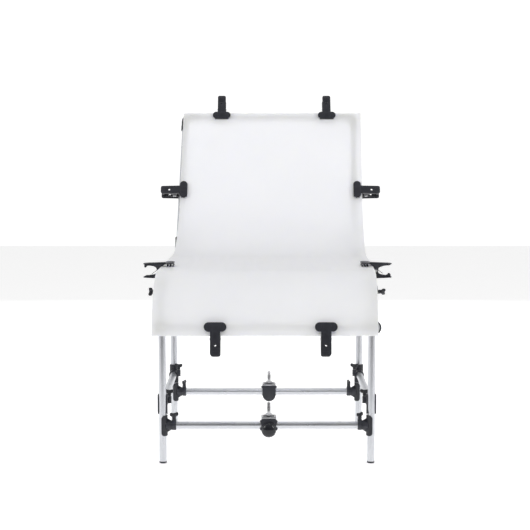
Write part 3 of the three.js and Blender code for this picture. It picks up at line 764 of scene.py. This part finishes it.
def wing_shapes(piece):
    """A wing knob on a plated bolt, standing along +Z above its boss."""
    foot = SLEEVE_RADIUS + 3.0 + GAP
    piece.add(lathe([(2.9, foot - 1.5), (2.9, foot + 2.5)], 20), STEEL)
    hub = [
        (5.0, foot + 0.9), (5.6, foot + 1.5), (5.2, foot + 8), (4.9, foot + 13.4),
        (4.1, foot + 14.2), (2.6, foot + 14.3),
    ]
    piece.add(lathe(hub, 28), KNOB_NYLON)
    half_wing = [
        (3.4, foot + 4.5), (6.4, foot + 7.6), (11.6, foot + 9.2), (12.6, foot + 14.4),
        (11.4, foot + 18.2), (7.6, foot + 18.4), (4.2, foot + 17.2), (0.0, foot + 16.6),
    ]
    wing = half_wing + [(-across, up) for across, up in reversed(half_wing[:-1])]
    piece.add(plate(rounded(wing, 3.0), 6.0, 1.6, flat="XZ"), KNOB_NYLON)
    for side in (-1, 1):
        for step in range(3):
            rib = rounded(box_outline(0.5, 2.8, (side * (6.9 + 1.6 * step), foot + 12.6)), 0.4)
            piece.add(plate(rib, 7.0, 0.25, flat="XZ"), KNOB_NYLON)


def make_tee(name, body, centre, socket, knob_way, options, knob_body, twist):
    """A tee that replaces its CAD node, and its knob, on a body of its own if it has one."""
    place = basis(socket, knob_way, centre)
    piece = Piece(f"fitting_{name}", place)
    tee_shapes(piece, **options)
    piece.finish(body, (f"tee_{name}",))
    reach, side = options.get("knob", (TEE_KNOB_REACH, 0))
    turned = Matrix.Translation((reach, side, 0)) @ Matrix.Rotation(twist, 4, "Z")
    knob = Piece(f"wing_{name}", place @ turned)
    wing_shapes(knob)
    if knob_body:
        knob.finish(knob_body, (knob_body,))
    else:
        knob.finish(body)


# ---------------------------------------------------------------- the tube frame


def make_tube(name, points, node, body, seam=X):
    """A plain tube that stands for a CAD node."""
    piece = Piece(name)
    piece.add(sweep(points, TUBE_RADIUS, seam=seam), ALUMINIUM)
    piece.finish(body, (node,))


def foot_shapes(piece, centre):
    """A ribbed foot cap over the bottom of a leg."""
    profile = [
        (8.0, 0.0), (9.2, 0.4), (TUBE_RADIUS + 0.3, 1.4), (TUBE_RADIUS + 0.5, 2.2),
        (TUBE_RADIUS + 0.5, 4.6), (TUBE_RADIUS + 0.1, 5.2),
    ]
    piece.add(lathe(profile), NYLON, Matrix.Translation((centre.x, centre.y, 0)))


def front_leg_axis():
    """Height of the bent side tube above the front leg, and its slope there."""
    radius = LIP_RADIUS - AXIS_DROP
    depth = node_centre("leg_front_left").y + DEPTH_TO_ORIGIN
    back = LIP_CENTRE[0] - depth
    return LIP_CENTRE[1] + math.sqrt(radius * radius - back * back), math.asin(back / radius)


def make_legs():
    """Four legs with foot caps, and the tees on their tops."""
    front_top, slope = front_leg_axis()
    for side, sign in (("left", -1), ("right", 1)):
        for end, top in (("front", front_top), ("rear", TUBE_HEIGHT)):
            node = f"leg_{end}_{side}"
            top_of_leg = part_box(node)[1].z / MM
            centre = node_centre(node)
            piece = Piece(f"tube_{node}")
            leg = [(centre.x, centre.y, 2.0), (centre.x, centre.y, top_of_leg)]
            piece.add(sweep(leg, TUBE_RADIUS), ALUMINIUM)
            foot_shapes(piece, centre)
            piece.finish("base", (node,))
            if end == "front":
                turn = sign * slope
                options = {
                    "crossing": Vector((-math.sin(turn), math.cos(turn), 0)),
                    "saddle": 34,
                    "bore": SLEEVE_BORE + BEND_ROOM,
                    "opening": 2.0,
                    "knob": (LEG_KNOB_REACH, 0),
                }
                knob_body = f"knob_leg_front_{side}"
            else:
                options = {"crossing": Y}
                knob_body = None
            place = Vector((centre.x, centre.y, top))
            twist = 0.75 if side == "left" else 0.9
            name = f"leg_{end}_{side}"
            make_tee(name, "base", place, -Z, X * sign, options, knob_body, twist)


def make_rails():
    """The two lower side rails with a tee at each end."""
    for side, sign in (("left", -1), ("right", 1)):
        node = f"rail_{side}"
        low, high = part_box(node)
        centre = node_centre(node)
        ends = [(centre.x, low.y / MM, centre.z), (centre.x, high.y / MM, centre.z)]
        make_tube(f"tube_{node}", ends, node, node)
        for end, way, twist in (("front", Y, 1.35), ("rear", -Y, 1.2)):
            inward = sign if end == "front" else -sign
            options = {"knob": (TEE_KNOB_REACH, inward * RAIL_KNOB_SIDE)}
            leg = node_centre(f"leg_{end}_{side}")
            place = Vector((leg.x, leg.y, centre.z))
            name = f"rail_{end}_{side}"
            make_tee(name, node, place, way, Z, options, f"knob_{name}", twist)


def make_crossbars():
    """The two crossbars with a tee at each end."""
    twists = {"front": 0.7, "rear": 1.5}
    for end in ("front", "rear"):
        node = f"crossbar_{end}"
        low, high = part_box(node)
        centre = node_centre(node)
        ends = [(low.x / MM, centre.y, centre.z), (high.x / MM, centre.y, centre.z)]
        make_tube(f"tube_{node}", ends, node, node, Y)
        for side, sign in (("left", -1), ("right", 1)):
            leg = node_centre(f"leg_{end}_{side}")
            place = Vector((leg.x, leg.y, centre.z))
            name = f"{node}_{side}"
            twist = twists[end] + 0.2 * sign
            make_tee(name, node, place, X * -sign, Z, {}, f"knob_{name}", twist)


def hinge_plate(reach, thickness, bevel):
    """A pierced disc around the hinge's pin with an arm along +X, its thickness along Y."""
    half = CHEEK_RADIUS * 0.9
    disc = arc((0, 0), CHEEK_RADIUS, 70 * DEG, 290 * DEG, 26)
    root = CHEEK_RADIUS * 0.6
    outline = [*disc, (root, -half), (reach, -half + 1), (reach, half - 1), (root, half)]
    return plate(outline, thickness, bevel, (circle((0, 0), HINGE_HOLE),), "XZ")


def sleeve_cap():
    """The shallow cap behind a hinge sleeve."""
    return lathe([(SLEEVE_RADIUS - 1.2, 0), (SLEEVE_RADIUS - 0.4, 1), (SLEEVE_RADIUS - 0.4, 3)])


def socket_profile(length, radius=SLEEVE_RADIUS):
    """Outside of a collared sleeve, from 0 to its length."""
    return [
        (radius - 0.8, 0), (radius, 0.8), (radius, 5), (radius - 0.7, 5.6),
        (radius - 0.7, length - 6), (radius, length - 5.4), (radius, length - 0.8),
        (radius - 0.8, length),
    ]


def make_side_tubes():
    """The bent side tubes under the sheet, each with the hinge's fork on its rear end."""
    for side, sign in (("left", -1), ("right", 1)):
        x = SIDE_X * sign
        radius = LIP_RADIUS - AXIS_DROP
        bend = arc(LIP_CENTRE, radius, math.pi / 2 + LIP_ANGLE, math.pi / 2, 40)
        end = (HINGE[0] - FORK_REACH, TUBE_HEIGHT)
        stops = [on_lip(BAR_INSET - 10, AXIS_DROP), *bend, end]
        piece = Piece(f"bent_tube_{side}")
        piece.add(sweep([at(x, stop) for stop in stops], TUBE_RADIUS), ALUMINIUM)
        fork = turn_to(-Y, at(x, end))
        piece.add(sleeve(TUBE_RADIUS + 0.05, socket_profile(FORK_SLEEVE)), NYLON, fork)
        piece.add(sleeve_cap(), NYLON, turn_to(-Y, at(x, (end[0] + 2, end[1]))))
        offset = TONGUE_THICKNESS / 2 + GAP + CHEEK_THICKNESS / 2
        for shift in (-offset, offset):
            cheek = hinge_plate(FORK_REACH + 3, CHEEK_THICKNESS, 0.6)
            piece.add(cheek, NYLON, basis(-Y, Z, at(x + shift, HINGE)))
        piece.finish("base", (f"side_tube_{side}",))


def make_back_tubes():
    """The back's straight tubes, each with the hinge's tongue on its lower end."""
    for side, sign in (("left", -1), ("right", 1)):
        x = SIDE_X * sign
        start = HINGE_BACK_OFF - TONGUE_REACH
        end = BACK_LENGTH - TOP_BAR_DROP
        low = at(x + lean(-start), on_back(-start, AXIS_DROP))
        high = at(x + lean(end), on_back(end, AXIS_DROP))
        way = (high - low).normalized()
        piece = Piece(f"back_upright_{side}")
        piece.add(sweep([low, high], TUBE_RADIUS), ALUMINIUM)
        piece.add(sleeve(TUBE_RADIUS + 0.05, socket_profile(FORK_SLEEVE)), NYLON, turn_to(way, low))
        piece.add(sleeve_cap(), NYLON, turn_to(BACK_UP, low - BACK_UP * 1.5))
        tongue = hinge_plate(TONGUE_REACH + 3, TONGUE_THICKNESS, 0.8)
        piece.add(tongue, NYLON, basis(BACK_UP, -BACK_FACE, at(x, HINGE)))
        piece.finish("back", (f"back_tube_{side}",))


def hinge_knob_outline(radius, depth, lobes=5, steps=60):
    """A lobed grip seen along its axis."""
    points = []
    for step in range(steps):
        angle = 2 * math.pi * step / steps
        reach = radius - depth * (0.5 + 0.5 * math.cos(lobes * angle + math.pi)) ** 1.5
        points.append((reach * math.cos(angle), reach * math.sin(angle)))
    return points


def make_hinge_knobs():
    """Lobed knobs on the inner side, whose pins run through fork and tongue."""
    stack = TONGUE_THICKNESS / 2 + GAP + CHEEK_THICKNESS
    for side, sign in (("left", -1), ("right", 1)):
        centre = at(SIDE_X * sign, HINGE)
        place = turn_to(X * -sign, centre)
        piece = Piece(f"hinge_grip_{side}", place)
        piece.add(lathe([(HINGE_PIN, -stack - 1), (HINGE_PIN, stack + 5)], 24), STEEL)
        nut = [(6.2, -stack - 3.6), (6.6, -stack - 3.2), (6.6, -stack - 0.6), (4, -stack - 0.4)]
        piece.add(lathe(nut, 6), STEEL)
        collar = [(8.2, stack + GAP), (8.6, stack + 0.9), (7.6, stack + 5.5), (7.6, stack + 7)]
        piece.add(lathe(collar), KNOB_NYLON)
        grip = plate(hinge_knob_outline(16, 3.4), 12, 1.8)
        piece.add(grip, KNOB_NYLON, Matrix.Translation((0, 0, stack + 12.2)))
        cap = [(6.5, stack + 17.8), (6.2, stack + 18.7), (5.4, stack + 19.1), (0.4, stack + 19.3)]
        piece.add(lathe(cap, 32), KNOB_NYLON)
        piece.finish(f"knob_hinge_{side}", (f"knob_hinge_{side}",))


def elbow_line(corner, first_way, second_way, reach_first, reach_second, radius):
    """Points of a bend with straight ends around a corner."""
    start = corner + first_way * radius
    end = corner + second_way * radius
    points = [corner + first_way * reach_first]
    for step in range(13):
        share = step / 12
        points.append(start * (1 - share) ** 2 + corner * 2 * share * (1 - share) + end * share**2)
    points.append(corner + second_way * reach_second)
    return points


def make_top_bar():
    """The top bar with an elbow at each end that takes a back tube."""
    piece = Piece("top_crossbar")
    end = BACK_LENGTH - TOP_BAR_DROP
    left = at(lean(end) - SIDE_X + 20, TOP_BAR)
    right = at(lean(end) + SIDE_X - 20, TOP_BAR)
    piece.add(sweep([left, right], TUBE_RADIUS, seam=Y), ALUMINIUM)
    for sign in (-1, 1):
        corner = at(lean(end) + SIDE_X * sign, TOP_BAR)
        down = (at(lean(0) + SIDE_X * sign, BACK_AXIS) - corner).normalized()
        line = elbow_line(corner, X * -sign, down, ELBOW_REACH, ELBOW_REACH, 13.0)
        piece.add(sweep(line, SLEEVE_RADIUS - 0.6, seam=BACK_FACE), NYLON)
        for way in (X * -sign, down):
            collar = sleeve(TUBE_RADIUS + 0.4, socket_profile(16, SLEEVE_RADIUS))
            piece.add(collar, NYLON, turn_to(way, corner + way * (ELBOW_REACH - 15)))
    piece.finish("back", ("top_bar",))


def make_lip_bar():
    """The lip bar with a corner sleeve at each end around a side tube, plugged in front."""
    piece = Piece("lip_crossbar")
    left = at(-SIDE_X + 12, LIP_BAR)
    right = at(SIDE_X - 12, LIP_BAR)
    piece.add(sweep([left, right], TUBE_RADIUS, seam=Y), ALUMINIUM)
    for sign in (-1, 1):
        corner = at(SIDE_X * sign, LIP_BAR)
        low = corner - LIP_UP * SLEEVE_RADIUS
        length = SLEEVE_RADIUS + LIP_ELBOW_REACH
        ring = sleeve(TUBE_RADIUS + 0.4, socket_profile(length, SLEEVE_RADIUS))
        piece.add(ring, NYLON, turn_to(LIP_UP, low))
        plug = [(9.8, 1.6), (9.2, 0.9), (6.5, 0.8), (6.0, 1.4), (0.4, 1.4)]
        piece.add(lathe(plug[::-1]), PLUG, turn_to(LIP_UP, low))
        place = turn_to(LIP_FACE, corner)
        collar = [(17.4, -6.0), (18.2, -5.0), (18.6, 7.0), (18.0, 9.4), (16.4, 9.8)]
        piece.add(sleeve(14.8, collar, 48), NYLON, place)
        cap = [(14.7, 2.0), (14.7, 7.6), (14.0, 8.6), (4.0, 8.8), (3.2, 8.0), (0.4, 8.0)]
        piece.add(lathe(cap, 48), PLUG, place)
        inward = sleeve(TUBE_RADIUS + 0.3, socket_profile(20, SLEEVE_RADIUS - 0.5))
        piece.add(inward, NYLON, turn_to(X * -sign, corner - X * sign * 9))
    piece.finish("base", ("lip_bar",))


# ---------------------------------------------------------------- spring clamps


def clamp_arm(piece, pad_face, ear_shift, nub=True):
    """One arm of a spring clamp: a moulded channel with ears, a pad shell on three rubber-tipped
    ribs, cross ribs inside, grip ridges outside, and a nub on the handle's end or a plain end.
    Local X runs from the jaw's tip to the handle's end, Z out from the jaw's middle line."""
    slope = (CLAMP_END - CLAMP_TIP) / CLAMP_LENGTH

    def outer(along):
        return CLAMP_TIP + slope * along

    end = CLAMP_LENGTH
    pivot = CLAMP_PIVOT
    handle_end = [
        (end - 5.5, outer(end)), (end - 3.5, outer(end) - 2.5), (end - 3.5, outer(end) - 10),
        (end - 6.0, outer(end) - 11.5), (end - 9.0, outer(end) - 10.5),
        (end - 11.5, outer(end) - 6.5), (end - 16, outer(end) - 5.5),
    ]
    plain_end = [
        (end - 5.5, outer(end)), (end - 4.0, outer(end) - 1.5), (end - 5.0, outer(end) - 4.2),
        (end - 16, outer(end) - 5.5),
    ]
    side = [
        (0.5, outer(0) - 3.4),
        (2.0, outer(2)),
        *(handle_end if nub else plain_end),
        (pivot + 15, outer(pivot) - 9.5), (pivot + 7.5, outer(pivot) - 14), (pivot + 6.3, 2.5),
        (pivot + 4.4, -4.0), (pivot, -6.0), (pivot - 4.4, -4.0), (pivot - 6.3, 2.5),
        (pivot - 7.0, outer(pivot) - 12), (28, outer(28) - 6.5), (22, outer(22) - 4.2),
    ]
    wall = CLAMP_WALL
    for sign in (-1, 1):
        cheek = plate(rounded(side, 2.2), wall, 0.45, holes=(circle((pivot, 0), 3.3, 20),), flat="XZ")
        piece.add(cheek, NYLON, Matrix.Translation((0, sign * (ear_shift - wall / 2), 0)))
    tilt = Matrix.Translation((0, 0, outer(0) - wall / 2)) @ Matrix.Rotation(-math.atan(slope), 4, "Y")
    half = CLAMP_WIDTH / 2
    spine = rounded(
        [(2.0, -half + 3), (16, -half), (end, -half), (end, half), (16, half), (2.0, half - 3)],
        7.0,
        6,
    )
    piece.add(plate(spine, wall, 0.6, holes=(circle((CLAMP_HOLE, 0), 3.6, 28),)), NYLON, tilt)
    rim = sleeve(3.5, [(5.0, 0.0), (5.2, 0.4), (5.2, 3.4), (4.8, 3.9)], 32)
    piece.add(rim, NYLON, tilt @ Matrix.Translation((CLAMP_HOLE, 0, -wall / 2 - 2.2)))
    for along in (24, 33, 71, 79):
        depth = 4.2
        rib = rounded(box_outline(half - wall, depth / 2), 0.6, 2)
        place = Matrix.Translation((along, 0, outer(along) - wall - depth / 2 + 0.4))
        turned = place @ Matrix.Rotation(math.pi / 2, 4, "Z") @ Matrix.Rotation(math.pi / 2, 4, "X")
        piece.add(plate(rib, 1.6, 0.3), NYLON, turned)
    for along in (66.0, 69.5, 73.0, 76.5):
        ridge = rounded(box_outline(0.7, half - 3.4, (along, 0)), 0.6, 2)
        piece.add(plate(ridge, 1.4, 0.4), NYLON, tilt @ Matrix.Translation((0, 0, wall / 2)))
    spread = (PAD_LENGTH - PAD_DEPTH) / 2
    radius = PAD_DEPTH / 2
    stadium = [
        *arc((radius, spread), radius, 0, math.pi, 18),
        *arc((radius, -spread), radius, math.pi, 2 * math.pi, 18),
    ]
    shell = 2.8
    shell_foot = outer(radius) - 0.4 - shell
    place = Matrix.Translation((0, 0, shell_foot + shell / 2))
    piece.add(plate(stadium, shell, 0.9), NYLON, place)
    for along in (2.4, 10.6, 18.8):
        reach = spread + math.sqrt(radius**2 - (along - radius) ** 2) - 1.2
        rib = rounded(box_outline(1.0, reach, (along, 0)), 0.8, 3)
        height = shell_foot + 0.4 - pad_face - 1.0
        lift = Matrix.Translation((0, 0, pad_face + 1.0 + height / 2))
        piece.add(plate(rib, height, 0.3), NYLON, lift)
        strip = rounded(box_outline(1.5, reach - 0.4, (along, 0)), 1.2, 3)
        foot = Matrix.Translation((0, 0, pad_face + 0.8))
        piece.add(plate(strip, 1.6, 0.4), RUBBER, foot)


def coil_points():
    """A coil spring around Y with two legs along the handles."""
    points = []
    steps = int(SPRING_TURNS * 18)
    for step in range(steps + 1):
        angle = 2 * math.pi * SPRING_TURNS * step / steps
        across = SPRING_LENGTH * (step / steps - 0.5)
        spot = (SPRING_RADIUS * math.sin(angle), across, SPRING_RADIUS * math.cos(angle))
        points.append(Vector(spot))
    first, last = SPRING_LEGS
    return [Vector(first), *points, Vector(last)]


def make_clamp(name, tube, handle, face, parent, outer_nub=True):
    """A spring clamp across the sheet and the tube behind it; one arm ends in a nub."""
    tip = tube - handle * (PAD_DEPTH / 2) + face * CLAMP_RISE
    fixed = Piece(f"clamp_{name}_outer_arm", basis(handle, face, tip))
    pad_face = AXIS_DROP + SHEET_THICKNESS / 2 + PAD_GAP - CLAMP_RISE
    clamp_arm(fixed, pad_face, CLAMP_WIDTH / 2, outer_nub)
    pivot = Matrix.Translation((CLAMP_PIVOT, 0, 0))
    across = pivot @ Matrix.Rotation(math.pi / 2, 4, "X")
    reach = CLAMP_WIDTH / 2 + 1.1
    rivet = [(4.3, -reach - 0.6), (4.6, -reach), (4.6, -reach + 0.9), (3.1, -reach + 1.0)]
    rivet += [(3.1, reach - 1.0), (4.6, reach - 0.9), (4.6, reach), (4.3, reach + 0.6)]
    fixed.add(sleeve(2.4, rivet, 28), STEEL, across)
    spring = sweep(coil_points(), SPRING_WIRE_RADIUS, 10, seam=Vector((0.2, 1, 0.1)))
    fixed.add(spring, STEEL, pivot)
    fixed.finish(parent, (f"clamp_{name}_fixed",))
    jaw = Piece(f"clamp_{name}_inner_arm", basis(handle, -face, tip))
    clamp_arm(jaw, TUBE_RADIUS + GAP + CLAMP_RISE, CLAMP_WIDTH / 2 - CLAMP_WALL - GAP, not outer_nub)
    jaw.finish(f"clamp_{name}_jaw", (f"clamp_{name}_jaw",))


def make_clamps():
    """Two clamps on the lip, two on the table, two on the back and two on the top edge."""
    for side, sign in (("left", -1), ("right", 1)):
        outward = X * sign
        front = at(0, LIP_BAR)
        front.x = node_centre(f"clamp_front_{side}_fixed").x
        top = at(0, TOP_BAR)
        top.x = node_centre(f"clamp_top_{side}_fixed").x
        table = at(TABLE_CLAMP_X[side], (TABLE_CLAMP_DEPTH, TUBE_HEIGHT))
        back = at(BACK_CLAMP_X[side], on_back(BACK_CLAMP_UP, AXIS_DROP))
        make_clamp(f"front_{side}", front, -LIP_UP, LIP_FACE, "base")
        make_clamp(f"table_{side}", table, outward, Z, "base", side == "left")
        make_clamp(f"back_{side}", back, outward, BACK_FACE, "back")
        make_clamp(f"top_{side}", top, BACK_UP, BACK_FACE, "back")


# ---------------------------------------------------------------- light holders


def holder_shapes(piece):
    """Ribbed block round the crossbar, serrated plate, bolt lugs and a turned stud."""
    half = HOLDER_HALF_WIDTH
    bottom = arc((0, -HOLDER_KNOB_DROP), half, math.pi, 2 * math.pi, 24)
    outline = [(-half, HOLDER_TOP), *bottom, (half, HOLDER_TOP)]
    slim = [(x * 0.96, z * 0.96) for x, z in outline]
    for shift, thickness, shape in ((-9.5, 11, outline), (0, 9, slim), (9.5, 11, outline)):
        body = plate(shape, thickness, 0.9, flat="XZ")
        piece.add(body, NYLON, Matrix.Translation((0, shift, 0)))
    for height in (4.5, 9.5, 14.5):
        for sign in (-1, 1):
            rib = rounded(box_outline(1.2, HOLDER_HALF_DEPTH - 2), 0.8, 2)
            place = Matrix.Translation((sign * (half - 1.0), 0, height))
            piece.add(plate(rib, 1.6, 0.4), NYLON, place)
    for sign in (-1, 1):
        collar = sleeve(TUBE_RADIUS + 0.2, socket_profile(9, SLEEVE_RADIUS))
        piece.add(collar, NYLON, turn_to(X * sign, X * sign * (half - 8.5)))
        for height in (12.5, -9.0):
            lug = [(3.6, 0), (3.9, 0.4), (3.9, 4.0), (3.3, 4.8), (2.2, 4.9)]
            spot = Vector((sign * (half - 1.5), -9, height))
            piece.add(lathe(lug, 24), NYLON, turn_to(X * sign, spot))
            piece.add(lathe([(1.9, 0), (1.9, 5.9), (1.5, 6.2)], 6), STEEL, turn_to(X * sign, spot))
    serrated = []
    teeth = 26
    depth = HOLDER_HALF_DEPTH - 0.4
    for tooth in range(teeth):
        across = -half - 0.4 + (2 * half + 0.8) * tooth / teeth
        step = (2 * half + 0.8) / teeth
        serrated += [(across, -depth), (across + step * 0.5, -depth - 0.9)]
    serrated.append((half + 0.4, -depth))
    serrated += [(-across, -up) for across, up in serrated]
    plate_place = Matrix.Translation((0, 0, HOLDER_TOP + 3.4))
    piece.add(plate(serrated, 5.6, 0.35), STEEL, plate_place)
    piece.add(
        plate(rounded(box_outline(half - 5, depth - 4), 3), 1.2, 0.3),
        NYLON,
        Matrix.Translation((0, 0, HOLDER_TOP + 6.3)),
    )
    base = HOLDER_TOP + 5
    stud = [
        (8.2, base - 0.5), (8.2, base + 2.2), (6.9, base + 3.0), (6.9, base + 4.0),
        (9.3, base + 4.4), (9.5, base + 4.9), (9.5, base + 6.6), (9.2, base + 7.0),
        (6.4, base + 7.8), (5.2, base + 9.0), (5.2, STUD_TOP - 12.0), (4.8, STUD_TOP - 11.4),
        (4.8, STUD_TOP - 1.4), (3.8, STUD_TOP), (2.6, STUD_TOP), (2.4, STUD_TOP - 0.6),
    ]
    piece.add(lathe(stud, 48), STEEL)


def holder_knob_outline(radius, flutes=24, steps=288):
    """A round grip with narrow flutes, seen along its axis."""
    points = []
    for step in range(steps):
        angle = 2 * math.pi * step / steps
        nearness = 0.5 + 0.5 * math.cos(flutes * angle)
        reach = radius - 0.7 * nearness**2
        points.append((reach * math.cos(angle), reach * math.sin(angle)))
    return points


def holder_knob_shapes(piece):
    """A fluted round knob whose axis runs along -Y, with a glossy domed face."""
    front = HOLDER_HALF_DEPTH + GAP
    place = basis(X, -Y, (0, 0, -HOLDER_KNOB_DROP))
    piece.add(lathe([(7, front - 0.2), (7.4, front + 3.2)], 32), KNOB_NYLON, place)
    grip = plate(holder_knob_outline(HOLDER_KNOB_RADIUS), 10, 1.4)
    piece.add(grip, KNOB_NYLON, place @ Matrix.Translation((0, 0, front + 7.8)))
    dome = [
        (18.2, front + 12.4), (17.8, front + 13.6), (16.2, front + 15.8), (13.6, front + 17.9),
        (10.6, front + 19.5), (7.2, front + 20.7), (3.6, front + 21.3), (0.5, front + 21.5),
    ]
    piece.add(lathe(dome, 64), GLOSS_NYLON, place)


def make_holders():
    """The light holders that slide on the crossbars."""
    for end, turn in (("front", 0.0), ("rear", math.pi)):
        centre = node_centre(f"crossbar_{end}")
        middle = node_centre(f"holder_{end}").x
        place = Matrix.Translation((middle, centre.y, centre.z)) @ Matrix.Rotation(turn, 4, "Z")
        body = Piece(f"light_holder_{end}", place)
        holder_shapes(body)
        body.finish(f"holder_{end}", (f"holder_{end}",))
        knob = Piece(f"light_holder_knob_{end}", place)
        holder_knob_shapes(knob)
        knob.finish(f"holder_knob_{end}", (f"holder_knob_{end}",))


# ---------------------------------------------------------------- studio


def add_camera():
    """The photograph's viewing angle: level with the sheet's back, looking slightly down."""
    data = bpy.data.cameras.new("camera")
    data.sensor_width = 36
    data.lens = CAMERA_LENS
    camera = bpy.data.objects.new("camera", data)
    camera.location = CAMERA_PLACE
    camera.rotation_euler = ((90 - CAMERA_DOWN) * DEG, 0, CAMERA_TURN * DEG)
    bpy.context.scene.collection.objects.link(camera)
    bpy.context.scene.camera = camera


def add_background(tree, strength):
    """A white background of one strength."""
    background = tree.nodes.new("ShaderNodeBackground")
    background.inputs["Color"].default_value = (1, 1, 1, 1)
    background.inputs["Strength"].default_value = strength
    return background


def pick_shader(tree, ray, rest, chosen):
    """One shader for a kind of ray and another for the rest."""
    mix = tree.nodes.new("ShaderNodeMixShader")
    tree.links.new(ray, mix.inputs["Fac"])
    tree.links.new(rest, mix.inputs[1])
    tree.links.new(chosen, mix.inputs[2])
    return mix.outputs["Shader"]


def add_world():
    """Even light all round, a studio mirrored dimmer at the front, and a white backdrop."""
    world = bpy.data.worlds.new("studio")
    world.use_nodes = True
    tree = world.node_tree
    tree.nodes.clear()
    output = tree.nodes.new("ShaderNodeOutputWorld")
    place = tree.nodes.new("ShaderNodeTexCoord")
    split = tree.nodes.new("ShaderNodeSeparateXYZ")
    tree.links.new(place.outputs["Generated"], split.inputs["Vector"])
    ramp = tree.nodes.new("ShaderNodeMapRange")
    ramp.interpolation_type = "SMOOTHSTEP"
    ramp.inputs["From Min"].default_value = -0.95
    ramp.inputs["From Max"].default_value = 0.25
    ramp.inputs["To Min"].default_value = MIRRORED_FRONT
    ramp.inputs["To Max"].default_value = MIRRORED_BACK
    tree.links.new(split.outputs["Y"], ramp.inputs["Value"])
    studio = add_background(tree, 1)
    tree.links.new(ramp.outputs["Result"], studio.inputs["Strength"])
    even = add_background(tree, EVEN_LIGHT)
    backdrop = add_background(tree, BACKDROP)
    rays = tree.nodes.new("ShaderNodeLightPath").outputs
    mirrored = pick_shader(tree, rays["Is Glossy Ray"], even.outputs[0], studio.outputs[0])
    seen = pick_shader(tree, rays["Is Camera Ray"], mirrored, backdrop.outputs[0])
    tree.links.new(seen, output.inputs["Surface"])
    bpy.context.scene.world = world


def add_light(name, location, target, size, power, mirrored=True):
    """A large soft area light turned to a target. Bright metal may or may not mirror it."""
    data = bpy.data.lights.new(name, "AREA")
    data.shape = "RECTANGLE"
    data.size, data.size_y = size
    data.energy = power
    light = bpy.data.objects.new(name, data)
    light.location = location
    light.visible_glossy = mirrored
    way = Vector(target) - Vector(location)
    light.rotation_euler = way.to_track_quat("-Z", "Y").to_euler()
    bpy.context.scene.collection.objects.link(light)


def add_studio():
    """Floor, world and lights."""
    bm = bmesh.new()
    corners = [(x, y, 0) for x, y in ((-3.5, -1.5), (3.5, -1.5), (3.5, 6.0), (-3.5, 6.0))]
    bm.faces.new([bm.verts.new(corner) for corner in corners])
    mesh = mesh_of(bm)
    material, _, shader = new_material("studio_floor", (0.93, 0.93, 0.93), 0.7)
    shader.inputs["Emission Color"].default_value = (1, 1, 1, 1)
    shader.inputs["Emission Strength"].default_value = FLOOR_GLOW
    mesh.materials.append(material)
    floor = bpy.data.objects.new("studio_floor", mesh)
    bpy.context.scene.collection.objects.link(floor)
    add_world()
    add_light("soft_left", (-2.1, -1.0, 1.5), (0, 0, 0.5), (0.6, 0.8), 12)
    add_light("soft_right", (2.1, -1.0, 1.5), (0, 0, 0.5), (0.6, 0.8), 12)
    add_light("soft_top", (0, -0.6, 2.9), (0, -0.1, 0.5), (2.6, 2.2), 1, mirrored=False)
    add_light("soft_front", (0, -3.0, 2.7), (0, 0, 0.6), (3.4, 2.0), 27, mirrored=False)
    add_light("soft_back", (0, 2.6, 1.2), (0, 0.35, 0.7), (2.6, 1.6), 30, mirrored=False)
    view = bpy.context.scene.view_settings
    view.view_transform = "Standard"
    view.look = "None"


add_camera()
add_studio()
make_sheet()
make_legs()
make_rails()
make_crossbars()
make_side_tubes()
make_back_tubes()
make_hinge_knobs()
make_top_bar()
make_lip_bar()
make_clamps()
make_holders()
